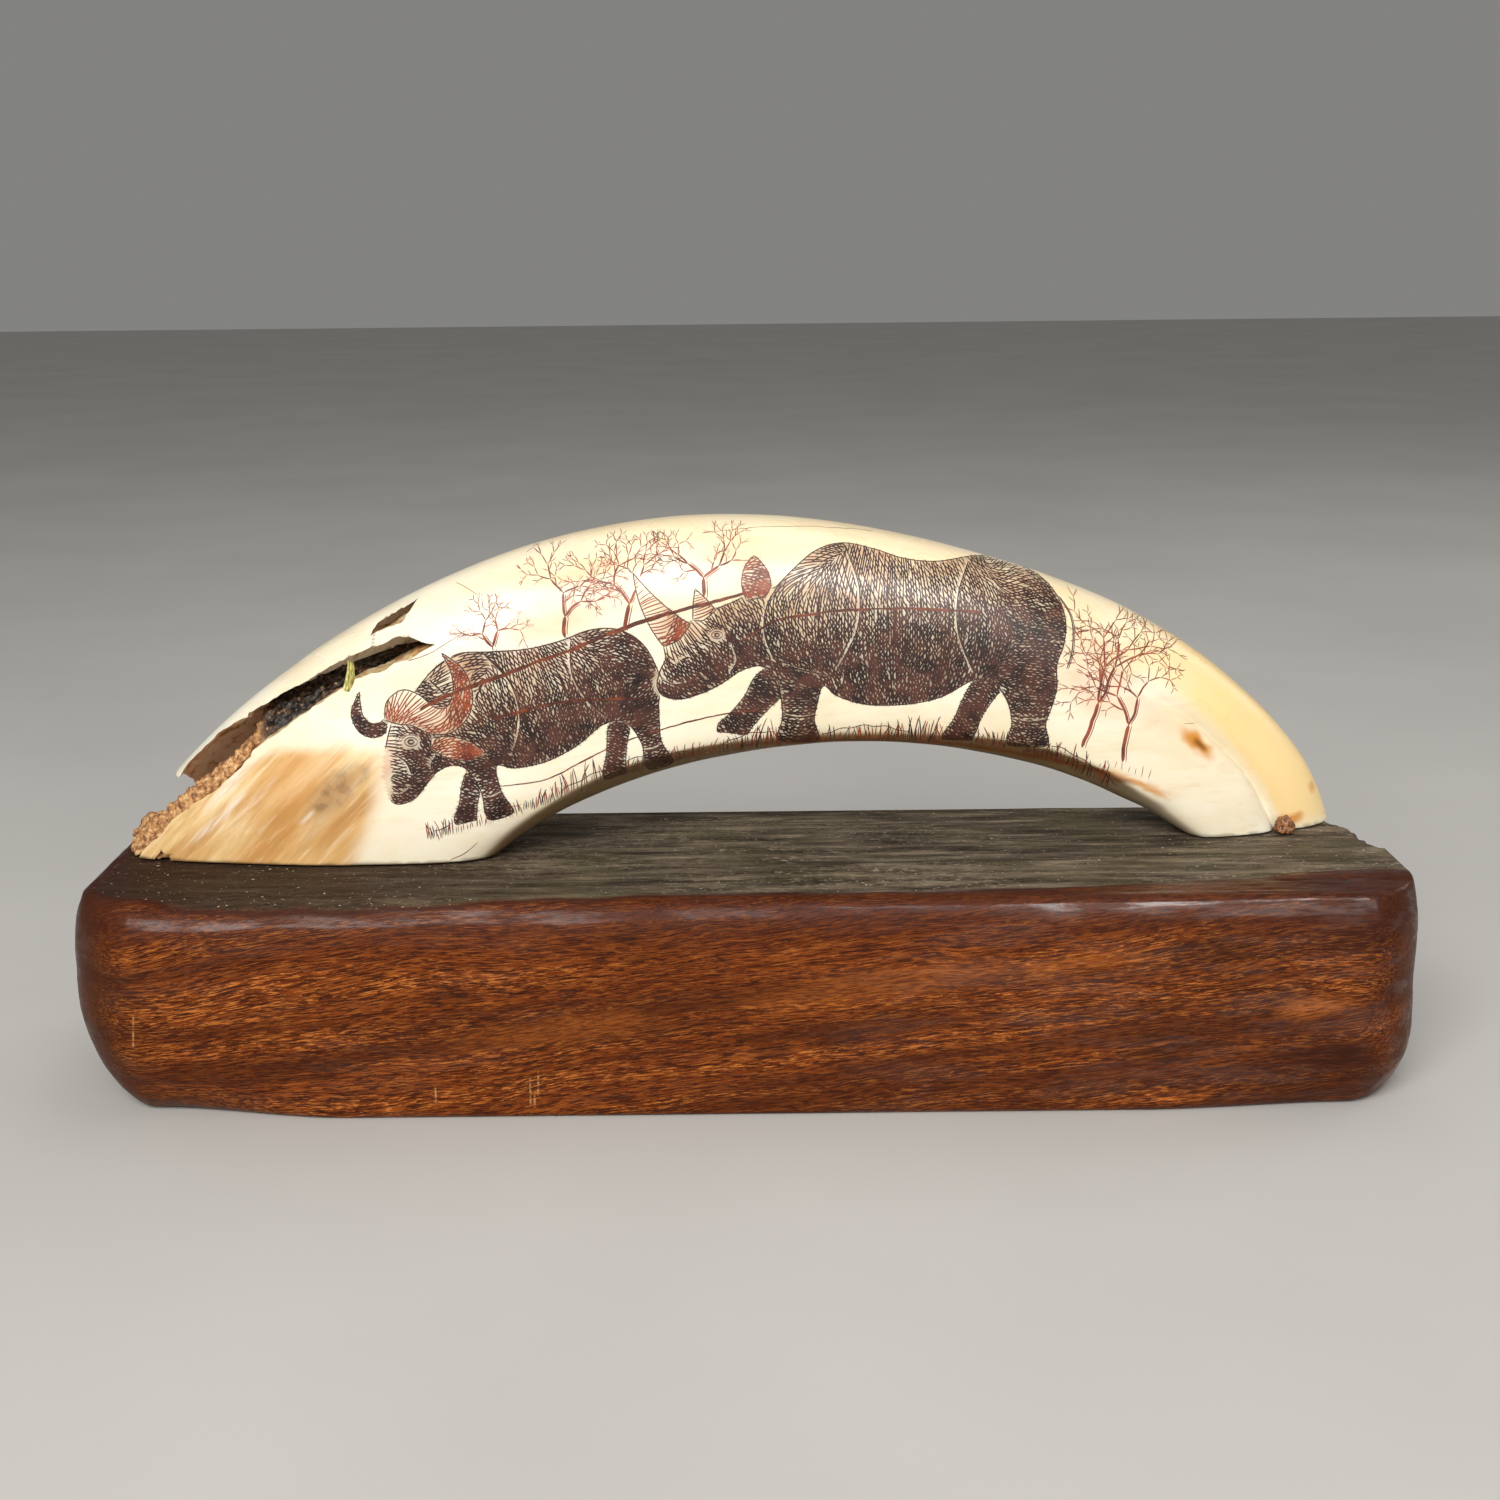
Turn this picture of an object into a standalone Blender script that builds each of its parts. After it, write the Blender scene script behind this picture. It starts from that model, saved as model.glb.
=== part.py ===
"""Scrimshaw warthog tusk on its block: the tusk stands as an arch on its two cut ends.

The block lies along X with its polished front face towards -Y. The origin is at the middle of its underside.
The root of the tusk, at -X, is hollow, split and broken, and a crumbly filling sets it on the block.
The tip, at +X, is cut flat and has a deep groove in its front, with a bead of glue at the groove's foot.
"""

import math

import bmesh
import bpy
import numpy as np
from mathutils import Vector

MM = 0.001
GAP = 0.3 * MM  # between pieces that touch

# Block
BLOCK_LENGTH = 217 * MM
BLOCK_DEPTH = 50 * MM
BLOCK_HEIGHT = 36 * MM
FRONT_CORNER = 13 * MM  # radius of the upright corners, seen from above
BACK_LEFT_CORNER = 14.5 * MM
BACK_RIGHT_CORNER = 17 * MM
# Roundings of the edges as (how far in, how far up or down)
TOP_FRONT_LEFT = Vector((6.0, 8.0)) * MM
TOP_FRONT_RIGHT = Vector((2.5, 4.5)) * MM
TOP_BACK = Vector((1.0, 2.0)) * MM
TOP_LEFT_END = Vector((3.6, 11.0)) * MM
TOP_RIGHT_END = Vector((2.2, 16.0)) * MM
FOOT_SIDE = Vector((1.6, 2.2)) * MM
FOOT_LEFT_END = Vector((11.0, 19.0)) * MM
FOOT_RIGHT_END = Vector((6.0, 11.0)) * MM
FOOT_REACH = 28 * MM  # the ends' roundings fade out along the front and back over this length
FOOT_FADE = 0.6  # and start there at this share

# The tusk isn't quite in the middle of the block, and neither are the shapes that are given with it
TUSK_SHIFT = -1.0 * MM

# Tusk, seen from the front: (x, height over the block) in millimetres, from the root to the tip
CREST = [(-106, 0), (-94.6, 13.4), (-67, 35.4), (-38, 49.1), (0, 55), (36, 49), (66.5, 37.4), (91.2, 19),
         (99.6, 8), (103, 0)]
BELLY = [(-39.5, 0), (-36.5, 2.4), (-27, 7.6), (-10, 13.6), (6.4, 17), (24, 17.5), (44, 14.2), (61, 8.2),
         (75.5, 0)]
# The most forward line of the front, and half the tusk's depth, at even steps along it, in millimetres
FRONT_LINE = [-5.4, -5.4, -3.8, 1.2, 7.0]
HALF_DEPTH = [13.4, 13.6, 13.0, 10.8, 7.6]
TIP_LEAN = 3.5 * MM  # how far the crest goes back at the tip, and the belly forward
# How far the front's lower edge is over the belly, in millimetres, at the same steps
EDGE_RISE = [3.0, 6.2, 2.8, 4.2, 2.0]
EDGE_TILT = math.radians(38)  # slope of the narrow facet under that edge
SOFT_POWER = 2.35  # superellipse powers: the rounded crest and back, and the squarer lower front
SQUARE_POWER = 4.2
EDGE_ANGLE = math.radians(-48)  # where the squarer corner is, from the front towards the crest
EDGE_SPREAD = math.radians(34)

# Groove in the front of the tip, a shallow one in the back, and the worn hollow at the root
GROOVE_START = 0.70
GROOVE_DEPTH = 3.4 * MM
GROOVE_ANGLE = math.radians(16)
GROOVE_WIDTH = math.radians(11)
BACK_GROOVE_DEPTH = 1.3 * MM
BACK_GROOVE_ANGLE = math.radians(172)
BACK_GROOVE_WIDTH = math.radians(20)
WORN_DEPTH = 2.4 * MM
WORN_ANGLE = math.radians(30)
WORN_WIDTH = math.radians(26)
WORN_REACH = 0.10

# Pulp cavity
WALL = 3.3 * MM
RIM_WALL = 0.5 * MM  # the wall thins out towards the root's rim,
RIM_X, WALL_X = -97 * MM, -74 * MM  # between these places
CAVITY_END = 0.46  # share of the tusk's length
CAVITY_TAPER = 0.78  # how much narrower its far end is

# Broken edges, seen from the front: (x, height over the block) in millimetres
FRONT_BREAK = [(-101.5, 0), (-97, 4.7), (-91.9, 9.4), (-85.2, 13.2), (-79, 19), (-67.7, 26.8), (-61.6, 30.6),
               (-56.3, 32.5), (-48.4, 36.3)]
CREST_BREAK = [(-94.2, 15.7), (-93.4, 15.2), (-90.9, 18.2), (-86.4, 22.4), (-83, 24.5), (-78.5, 25.3),
               (-71.4, 29.1), (-64, 33.4), (-54.3, 37.6), (-48.4, 36.3)]
SLIT = [(-59.8, 37), (-57.4, 38), (-53.9, 39.9), (-51.6, 42.7), (-56.2, 40.3), (-58.6, 38.9)]
MIDDLE = 8 * MM  # the front wall is in front of this, and the back wall, which is nearly whole, behind it
BREAK_OPENS = -79.6  # left of this the break is wide and open
BREAK_SLANT = (0.0, -0.25)  # how the break there moves, sideways and up, for each step back,
BREAK_AT = -5 * MM  # counted from the distance at which it is as given
REAR_RIM = [(-103, -12), (-101.2, 0.5), (-95.3, 5.3), (-92.2, 9.4), (-92.2, 11.3), (-93.6, 12), (-94.8, 12.7)]
RIM_SLANT = (-0.31, -0.28)  # the back wall's broken end, as given at MIDDLE

# Filling in the root, seen from the front: its exposed side, in millimetres
FILLING_SIDE = [(-102.6, -10), (-102.4, 4.3), (-100.8, 8.2), (-96.5, 8.6), (-92.7, 11.8), (-88, 15.1),
                (-82.8, 18.8), (-80, 21.7), (-78.6, 25.8)]
FILLING_END = -47 * MM
FILLING_SHRINK = 0.9 * MM  # how far inside the tusk's outside the exposed ridge of it is
BREAK_GAP = 0.3  # in millimetres, like the broken edges
FAR_FRONT, FAR_BACK = -30 * MM, 50 * MM  # well outside the tusk

# Bead of glue at the foot of the tip's groove
BEAD_PLACE = Vector((92.0, 8.0, 0.9)) * MM
BEAD_SIZE = Vector((1.8, 2.0, 2.2)) * MM

# How finely the surfaces are divided
TUSK_STEPS = 46
TUSK_SIDES = 36
CAVITY_STEPS = 18
CAVITY_SIDES = 20
CORNER_STEPS = 6
ROUND_STEPS = 5
FACE_STEPS = 20


# ---------------------------------------------------------------- curves

def smooth_curve(points):
    """A natural cubic spline through points, as a function of the share of its length, from 0 to 1."""
    points = np.array(points, float)
    knots = np.concatenate([[0], np.cumsum(np.linalg.norm(np.diff(points, axis=0), axis=1))])
    count = len(points)
    step = np.diff(knots)
    matrix = np.eye(count)
    right = np.zeros_like(points)
    for i in range(1, count - 1):
        matrix[i, i - 1:i + 2] = step[i - 1], 2 * (step[i - 1] + step[i]), step[i]
        right[i] = 6 * ((points[i + 1] - points[i]) / step[i] - (points[i] - points[i - 1]) / step[i - 1])
    bend = np.linalg.solve(matrix, right)

    def at_knot(t):
        i = int(np.clip(np.searchsorted(knots, t) - 1, 0, count - 2))
        a, b, h = knots[i + 1] - t, t - knots[i], step[i]
        return (bend[i] * a ** 3 + bend[i + 1] * b ** 3) / (6 * h) + (
            (points[i] / h - bend[i] * h / 6) * a + (points[i + 1] / h - bend[i + 1] * h / 6) * b)

    fine = np.linspace(0, knots[-1], 400)
    places = np.array([at_knot(t) for t in fine])
    run = np.concatenate([[0], np.cumsum(np.linalg.norm(np.diff(places, axis=0), axis=1))])
    return lambda share: at_knot(np.interp(share * run[-1], run, fine))


def even_steps(values):
    """A smooth function of a share from 0 to 1 through values at even steps."""
    curve = smooth_curve([(i / (len(values) - 1) * 1000, v) for i, v in enumerate(values)])
    samples = np.array([curve(s) for s in np.linspace(0, 1, 200)])
    return lambda share: float(np.interp(share * 1000, samples[:, 0], samples[:, 1]))


def bump(angle, centre, width):
    """A smooth rise from 0 to 1 at centre, for angles that go round."""
    away = (angle - centre + math.pi) % (2 * math.pi) - math.pi
    return math.exp(-(away / width) ** 2)


def ease(value, start, end):
    """0 before start and 1 after end, with a smooth rise between."""
    t = min(1.0, max(0.0, (value - start) / (end - start)))
    return t * t * (3 - 2 * t)


crest = smooth_curve(CREST)
belly = smooth_curve(BELLY)
front_line = even_steps(FRONT_LINE)
half_depth = even_steps(HALF_DEPTH)
edge_rise = even_steps(EDGE_RISE)


# ---------------------------------------------------------------- sections of the tusk

def section_frame(share):
    """Centre, direction to the crest, half height and half depth of the section at a share of the way."""
    top, low = crest(share) * MM, belly(share) * MM
    up = Vector((top[0] - low[0], 0, top[1] - low[1]))
    deep = half_depth(share) * MM
    middle = (top + low) / 2
    centre = Vector((middle[0] + TUSK_SHIFT, front_line(share) * MM + deep, middle[1] + BLOCK_HEIGHT + GAP))
    return centre, up.normalized(), up.length / 2, deep


def section_radius(share, angle, high, deep):
    """How far the surface is from the section's centre, as a share of an ellipse.

    Angle 0 is the front, 90 degrees the crest.
    """
    power = SOFT_POWER + (SQUARE_POWER - SOFT_POWER) * bump(angle, EDGE_ANGLE, EDGE_SPREAD)
    rise, out = math.sin(angle), math.cos(angle)
    radius = (abs(rise) ** power + abs(out) ** power) ** (-1 / power)
    toward = -math.cos(EDGE_TILT) * high * rise + math.sin(EDGE_TILT) * deep * out
    if toward > 0:
        reach = math.cos(EDGE_TILT) * (high - edge_rise(share) * MM) + math.sin(EDGE_TILT) * 0.9 * deep
        radius = min(radius, reach / toward)
    size = math.hypot(high * rise, deep * out)
    dent = GROOVE_DEPTH * ease(share, GROOVE_START, 1) * bump(angle, GROOVE_ANGLE, GROOVE_WIDTH)
    dent += BACK_GROOVE_DEPTH * bump(angle, BACK_GROOVE_ANGLE, BACK_GROOVE_WIDTH)
    dent += WORN_DEPTH * (1 - ease(share, 0, WORN_REACH)) * bump(angle, WORN_ANGLE, WORN_WIDTH)
    return radius - dent / size


def surface_point(share, angle, grow=0.0):
    """A point of the tusk's outside. grow moves it outwards."""
    centre, up, high, deep = section_frame(share)
    radius = section_radius(share, angle, high, deep)
    rise, out = math.sin(angle), math.cos(angle)
    point = centre + up * (radius * high + grow) * rise
    point.y += TIP_LEAN * ease(share, 0.6, 1) * radius * rise - (radius * deep + grow) * out
    return point


def cavity_point(share, angle, grow):
    """A point of the pulp cavity. It follows the outside one wall further in, and narrows towards its end."""
    centre, up, high, deep = section_frame(max(0.0, share))
    narrow = 1 - CAVITY_TAPER * ease(share, 0.12, CAVITY_END)
    radius = section_radius(max(0.0, share), angle, high, deep)
    outside = centre + up * radius * high * math.sin(angle)
    wall = RIM_WALL + (WALL - RIM_WALL) * ease(outside.x, RIM_X, WALL_X)
    point = centre + up * ((radius * high - wall) * narrow + grow) * math.sin(angle)
    point.y -= ((radius * deep - wall) * narrow + grow) * math.cos(angle)
    return point


# ---------------------------------------------------------------- building meshes

def add_object(name, mesh_data, material=None):
    """A named object in the scene from a finished bmesh."""
    bmesh.ops.recalc_face_normals(mesh_data, faces=mesh_data.faces)
    mesh = bpy.data.meshes.new(name)
    mesh_data.to_mesh(mesh)
    mesh_data.free()
    made = bpy.data.objects.new(name, mesh)
    bpy.context.scene.collection.objects.link(made)
    if material:
        mesh.materials.append(material)
    return made


def loft(rings):
    """A closed bmesh over rings of points, with flat ends."""
    data = bmesh.new()
    rows = [[data.verts.new(p) for p in ring] for ring in rings]
    for low, high in zip(rows, rows[1:]):
        for i in range(len(low)):
            j = (i + 1) % len(low)
            data.faces.new((low[i], low[j], high[j], high[i]))
    data.faces.new(reversed(rows[0]))
    data.faces.new(rows[-1])
    return data


def plate(outline, near, far, slant=(0.0, 0.0), given_at=0.0):
    """A closed bmesh of an outline, (x, height over the block) in millimetres, drawn out along Y.

    It is as given at one distance, and moves by the slant, sideways and up, on the way back.
    """
    corner = Vector((TUSK_SHIFT, 0, BLOCK_HEIGHT + GAP))
    rings = []
    for y in (near, far):
        moved = corner + Vector((slant[0] * (y - given_at), y, slant[1] * (y - given_at)))
        rings.append([moved + Vector((x, 0, z)) * MM for x, z in outline])
    return loft(rings)


def boolean(target, cutter, operation):
    """Cuts target with, or keeps only what is inside, a cutter that is then hidden."""
    cutter.hide_render = True
    cutter.display_type = "WIRE"
    step = target.modifiers.new(cutter.name, "BOOLEAN")
    step.operation = operation
    step.solver = "EXACT"
    step.object = cutter


def smooth(made, angle):
    made.data.shade_smooth()
    made.data.set_sharp_from_angle(angle=math.radians(angle))


def principled(name, colour, roughness):
    material = bpy.data.materials.new(name)
    material.use_nodes = True
    shader = material.node_tree.nodes["Principled BSDF"]
    shader.inputs["Base Color"].default_value = (*colour, 1)
    shader.inputs["Roughness"].default_value = roughness
    shader.inputs["Metallic"].default_value = 0.0
    material.diffuse_color = (*colour, 1)
    return material


# ---------------------------------------------------------------- block

def block_outline():
    """The block's widest outline from above as (point, outward direction), with its corners as arcs."""
    half_x, half_y = BLOCK_LENGTH / 2, BLOCK_DEPTH / 2
    corners = [(-1, -1, FRONT_CORNER), (1, -1, FRONT_CORNER),
               (1, 1, BACK_RIGHT_CORNER), (-1, 1, BACK_LEFT_CORNER)]
    outline = []
    for turn, (side_x, side_y, radius) in enumerate(corners):
        centre = Vector((side_x * (half_x - radius), side_y * (half_y - radius), 0))
        start = math.pi + turn * math.pi / 2
        for i in range(CORNER_STEPS + 1):
            angle = start + i / CORNER_STEPS * math.pi / 2
            out = Vector((math.cos(angle), math.sin(angle), 0))
            outline.append((centre + out * radius, out))
        if turn in (0, 2):  # the long sides are divided, because their edges change along them
            length = BLOCK_LENGTH - radius - corners[turn + 1][2]
            start_point, out = outline[-1]
            along = Vector((1 if turn == 0 else -1, 0, 0))
            outline += [(start_point + along * length * i / FACE_STEPS, out) for i in range(1, FACE_STEPS)]
    return outline


def edge_rounds(point, out):
    """Roundings of the bottom and top edges of the block at a point of its outline."""
    half = BLOCK_LENGTH / 2
    near_end = FOOT_FADE * ease(abs(point.x), half - BACK_RIGHT_CORNER - FOOT_REACH, half - FRONT_CORNER)
    end = near_end + (1 - near_end) * ease(abs(out.x), 0.0, 1.0)
    end_foot = FOOT_LEFT_END if point.x < 0 else FOOT_RIGHT_END
    front_top = TOP_FRONT_LEFT.lerp(TOP_FRONT_RIGHT, ease(point.x, -half, half))
    side_top = front_top.lerp(TOP_BACK, ease(out.y, -0.6, 0.6))
    end_top = TOP_LEFT_END if point.x < 0 else TOP_RIGHT_END
    return FOOT_SIDE.lerp(end_foot, end), side_top.lerp(end_top, ease(abs(out.x), 0.2, 1.0))


def make_block(material):
    foot_ring, top_ring = [], []
    for i in range(ROUND_STEPS + 1):
        lean = i / ROUND_STEPS * math.pi / 2
        low, high = [], []
        for point, out in block_outline():
            foot, top = edge_rounds(point, out)
            near, far = 1 - math.sin(lean), 1 - math.cos(lean)
            low.append(point - out * foot[0] * near + Vector((0, 0, foot[1] * far)))
            high.append(point - out * top[0] * far + Vector((0, 0, BLOCK_HEIGHT - top[1] * near)))
        foot_ring.append(low)
        top_ring.append(high)
    block = add_object("block", loft(foot_ring + top_ring), material)
    smooth(block, 35)
    return block


# ---------------------------------------------------------------- tusk and its filling

def tusk_rings(steps, sides, grow=0.0):
    angles = [i / sides * 2 * math.pi for i in range(sides)]
    return [[surface_point(i / steps, a, grow) for a in angles] for i in range(steps + 1)]


def cavity_mesh(grow):
    """The pulp cavity, open below at the root, where it runs past the tusk's cut end."""
    angles = [i / CAVITY_SIDES * 2 * math.pi for i in range(CAVITY_SIDES)]
    shares = [i / CAVITY_STEPS * CAVITY_END for i in range(CAVITY_STEPS + 1)]
    rings = [[cavity_point(share, a, grow) for a in angles] for share in shares]
    if grow == 0.0:
        below = Vector((0, 0, -5 * MM))
        rings.insert(0, [p + below for p in rings[0]])
    return loft(rings)


def make_tusk(material):
    tusk = add_object("tusk", loft(tusk_rings(TUSK_STEPS, TUSK_SIDES)), material)
    boolean(tusk, add_object("cavity_cutter", cavity_mesh(0.0)), "DIFFERENCE")

    # The front wall is broken away at the end, and the back wall has a broken rim there
    low = [p for p in FRONT_BREAK if p[0] < BREAK_OPENS]
    high = [p for p in reversed(CREST_BREAK) if p[0] < BREAK_OPENS]
    end = [(-118, -12), (-101.5, -12), *low, (BREAK_OPENS, 18.4), (BREAK_OPENS, 25.6), *high,
           (-95.6, 18.6), (-118, 21)]
    end_cutter = add_object("end_cutter", plate(end, FAR_FRONT, MIDDLE, BREAK_SLANT, BREAK_AT))
    boolean(tusk, end_cutter, "DIFFERENCE")
    rim = plate([(-118, -12), *REAR_RIM, (-97, 18), (-118, 21)], MIDDLE - GAP, FAR_BACK, RIM_SLANT, MIDDLE)
    boolean(tusk, add_object("rim_cutter", rim), "DIFFERENCE")

    # The long crack and the slit above it are only in the front wall
    low = [(BREAK_OPENS - 1, 17.4), *[p for p in FRONT_BREAK if p[0] > BREAK_OPENS]]
    high = [*[p for p in reversed(CREST_BREAK[:-1]) if p[0] > BREAK_OPENS], (BREAK_OPENS - 1, 24.0)]
    boolean(tusk, add_object("crack_cutter", plate(low + high, FAR_FRONT, MIDDLE)), "DIFFERENCE")
    boolean(tusk, add_object("slit_cutter", plate(SLIT, FAR_FRONT, MIDDLE)), "DIFFERENCE")
    smooth(tusk, 40)
    return tusk


def make_filling(material):
    """It fills the cavity, and where the wall is broken away it shows at its full thickness."""
    filling = add_object("root_filling", cavity_mesh(-GAP), material)
    shown = add_object("filling_shown", loft(tusk_rings(TUSK_STEPS, TUSK_SIDES, -FILLING_SHRINK)))
    low = [p for p in FRONT_BREAK if p[0] < BREAK_OPENS]
    edge = [(x - BREAK_GAP, z + BREAK_GAP) for x, z in reversed(low)]
    side = BREAK_OPENS - BREAK_GAP
    ridge = plate([(-118, 0), (-118, 40), (side, 40), (side, 18.7), *edge],
                  FAR_FRONT, MIDDLE - 2 * GAP, BREAK_SLANT, BREAK_AT)
    boolean(shown, add_object("ridge_keep", ridge), "INTERSECT")
    boolean(filling, shown, "UNION")
    over, under, end = 60, -20, FILLING_END / MM
    keep = plate([*FILLING_SIDE, (-76, over), (end, over), (end, under), (FILLING_SIDE[0][0], under)],
                 FAR_FRONT, FAR_BACK, BREAK_SLANT, BREAK_AT)
    boolean(filling, add_object("filling_keep", keep), "INTERSECT")
    smooth(filling, 35)
    return filling


def make_bead(material):
    data = bmesh.new()
    bmesh.ops.create_icosphere(data, subdivisions=2, radius=1.0)
    for vert in data.verts:
        shape = Vector((vert.co.x * BEAD_SIZE.x, vert.co.y * BEAD_SIZE.y, vert.co.z * BEAD_SIZE.z))
        vert.co = shape + BEAD_PLACE + Vector((0, 0, BLOCK_HEIGHT))
    bead = add_object("groove_glue", data, material)
    grown = add_object("tusk_and_gap", loft(tusk_rings(TUSK_STEPS, TUSK_SIDES, GAP)))
    boolean(bead, grown, "DIFFERENCE")
    half = 10 * MM
    under = [Vector((x, y, 0)) for x, y in ((-half, -half), (half, -half), (half, half), (-half, half))]
    base = Vector((BEAD_PLACE.x, BEAD_PLACE.y, BLOCK_HEIGHT + GAP))
    levels = [[base + p + Vector((0, 0, z)) for p in under] for z in (-half, 0)]
    boolean(bead, add_object("block_and_gap", loft(levels)), "DIFFERENCE")
    smooth(bead, 35)
    return bead


def main():
    for old in list(bpy.data.objects):
        bpy.data.objects.remove(old)
    make_block(principled("hardwood", (0.23, 0.075, 0.03), 0.35))
    make_tusk(principled("ivory", (0.86, 0.76, 0.58), 0.3))
    filler = principled("filling", (0.16, 0.09, 0.05), 0.9)
    make_filling(filler)
    make_bead(filler)


main()
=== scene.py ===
"""The looks of the scrimshaw warthog tusk on its block of polished hardwood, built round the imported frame.

Lengths are in millimetres in the object's own frame, with heights counted from the block's top, unless a name
says otherwise. The tusk's curves repeat those that the solids are made from.
"""

import math
import random

import bmesh
import bpy
import numpy as np
from mathutils import Matrix, Vector, noise
from mathutils.bvhtree import BVHTree


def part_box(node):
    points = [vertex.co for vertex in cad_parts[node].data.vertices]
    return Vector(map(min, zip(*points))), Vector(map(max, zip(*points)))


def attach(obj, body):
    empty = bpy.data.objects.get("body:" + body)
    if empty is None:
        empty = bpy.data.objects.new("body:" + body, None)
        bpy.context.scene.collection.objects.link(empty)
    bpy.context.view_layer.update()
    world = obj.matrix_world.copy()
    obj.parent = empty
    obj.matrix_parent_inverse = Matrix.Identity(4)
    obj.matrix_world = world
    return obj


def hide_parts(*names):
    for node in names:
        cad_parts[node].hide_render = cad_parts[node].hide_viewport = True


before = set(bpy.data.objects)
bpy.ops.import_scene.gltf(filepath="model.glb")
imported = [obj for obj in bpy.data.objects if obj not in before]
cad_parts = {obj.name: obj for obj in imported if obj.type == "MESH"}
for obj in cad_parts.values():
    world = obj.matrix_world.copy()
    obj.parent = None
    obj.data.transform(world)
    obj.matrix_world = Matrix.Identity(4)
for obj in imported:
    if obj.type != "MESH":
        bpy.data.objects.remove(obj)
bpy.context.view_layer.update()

MM = 0.001
BLOCK_LOW, BLOCK_HIGH = (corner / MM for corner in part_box("block"))
TUSK_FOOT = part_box("tusk")[0].z / MM
DECK = BLOCK_HIGH.z  # height of the block's top
FOOT_GAP = TUSK_FOOT - DECK

# ---------------------------------------------------------------- the tusk's shape, as in the solids

TUSK_SHIFT = -1.0  # of the whole tusk along the block
# Curves from root to tip, as (x, height)
CREST = [(-106, 0), (-94.6, 13.4), (-67, 35.4), (-38, 49.1), (0, 55), (36, 49), (66.5, 37.4), (91.2, 19),
         (99.6, 8), (103, 0)]
BELLY = [(-39.5, 0), (-36.5, 2.4), (-27, 7.6), (-10, 13.6), (6.4, 17), (24, 17.5), (44, 14.2), (61, 8.2),
         (75.5, 0)]
# Sizes at even steps from root to tip
FRONT_LINE = [-5.4, -5.4, -3.8, 1.2, 7.0]
HALF_DEPTH = [13.4, 13.6, 13.0, 10.8, 7.6]
EDGE_RISE = [3.0, 6.2, 2.8, 4.2, 2.0]
TIP_LEAN, LEAN_FROM = 3.5, 0.6
# The section: a rounded square with a facet under the front's lower edge
EDGE_TILT = math.radians(38)
EDGE_DEEP = 0.9
EDGE_CRISP, EDGE_SOFTER, EDGE_SOFTENS = 70, 59, (0.80, 0.94)
SOFT_POWER, SQUARE_POWER = 2.35, 4.2
EDGE_ANGLE, EDGE_SPREAD = math.radians(-48), math.radians(34)
# Hollows in it, by their angle and width round the section
GROOVE = dict(depth=3.4, angle=math.radians(16), width=math.radians(11), start=0.70)
GROOVE_TURN, GROOVE_FOOT = math.radians(5), 0.92  # how much further round its sharp fold is above the foot
FOLD_WIDTH = 0.6
BACK_GROOVE = dict(depth=1.3, angle=math.radians(172), width=math.radians(20))
WORN = dict(depth=2.4, angle=math.radians(30), width=math.radians(26), reach=0.10)
# The pulp cavity: its wall from the rim inwards, and how far it reaches
WALL, RIM_WALL = 3.3, 0.5
RIM_X, WALL_X = -97, -74
CAVITY_START, CAVITY_END, CAVITY_TAPER = 0.12, 0.46, 0.78
# Edges of the broken root, as (x, height)
FRONT_BREAK = [(-101.5, 0), (-97, 4.7), (-91.9, 9.4), (-85.2, 13.2), (-79, 19), (-67.7, 26.8), (-61.6, 30.6),
               (-56.3, 32.5), (-48.4, 36.3)]
CREST_BREAK = [(-94.2, 15.7), (-93.4, 15.2), (-90.9, 18.2), (-86.4, 22.4), (-83, 24.5), (-78.5, 25.3),
               (-71.4, 29.1), (-64, 33.4), (-54.3, 37.6), (-48.4, 36.3)]
SLIT = [(-59.8, 37), (-57.4, 38), (-53.9, 39.9), (-51.6, 42.7), (-56.2, 40.3), (-58.6, 38.9)]
REAR_RIM = [(-103, -12), (-101.2, 0.5), (-95.3, 5.3), (-92.2, 9.4), (-92.2, 11.3), (-93.6, 12), (-94.8, 12.7)]
NOTCH = [(-97.8, -1), (-97.0, 0.5), (-96.1, 1.5), (-95.4, 0.8), (-94.6, 0.7), (-94.0, -1)]
MIDDLE = 8.0  # distance at which the front wall's cuts end
NOTCH_END = 6
BREAK_OPENS = -79.6  # where the gap in the front wall widens to the open end
BREAK_SLANT, BREAK_AT = (0.0, -0.25), -5.0
RIM_SLANT = (-0.31, -0.28)
CLEAR_X, CLEAR, CLEAR_BACK = -118, -12, 32  # well outside the tusk, for the cutters
# Sideways noise of a broken edge, as (amount, size along each axis, seed)
FRACTURE = ((0.26, (2.4, 3.2, 2.4), 0), (0.10, (0.7, 1.2, 0.7), 5))
FRACTURE_STEP = 0.45
CAVITY_ROUGHNESS = (0.35, (5.0, 2.0, 5.0), 5.0)
# Relief of the polished ivory and of the patch's fibres, as (amount, size, seed)
POLISH_WAVES = ((0.10, 17.0, 1.0), (0.03, 6.0, 2.0))
PATCH_DEPTH, FLAKE_DEPTH = 0.16, 0.9
FLAKE_X, FLAKE_LONG = -59.8, 5.9

# How finely it is divided
TUSK_RINGS = 440
FACET_ROWS, FRONT_ROWS, BACK_ROWS = 10, 88, 66
FACET_NARROWEST = (-57, -48)  # angles that its rows have at least, in degrees
CAVITY_SIDES, CAVITY_RINGS = 72, 60


def run_along(points):
    """How far each point is along the line through them."""
    return np.concatenate([[0], np.cumsum(np.linalg.norm(np.diff(points, axis=0), axis=1))])


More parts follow.
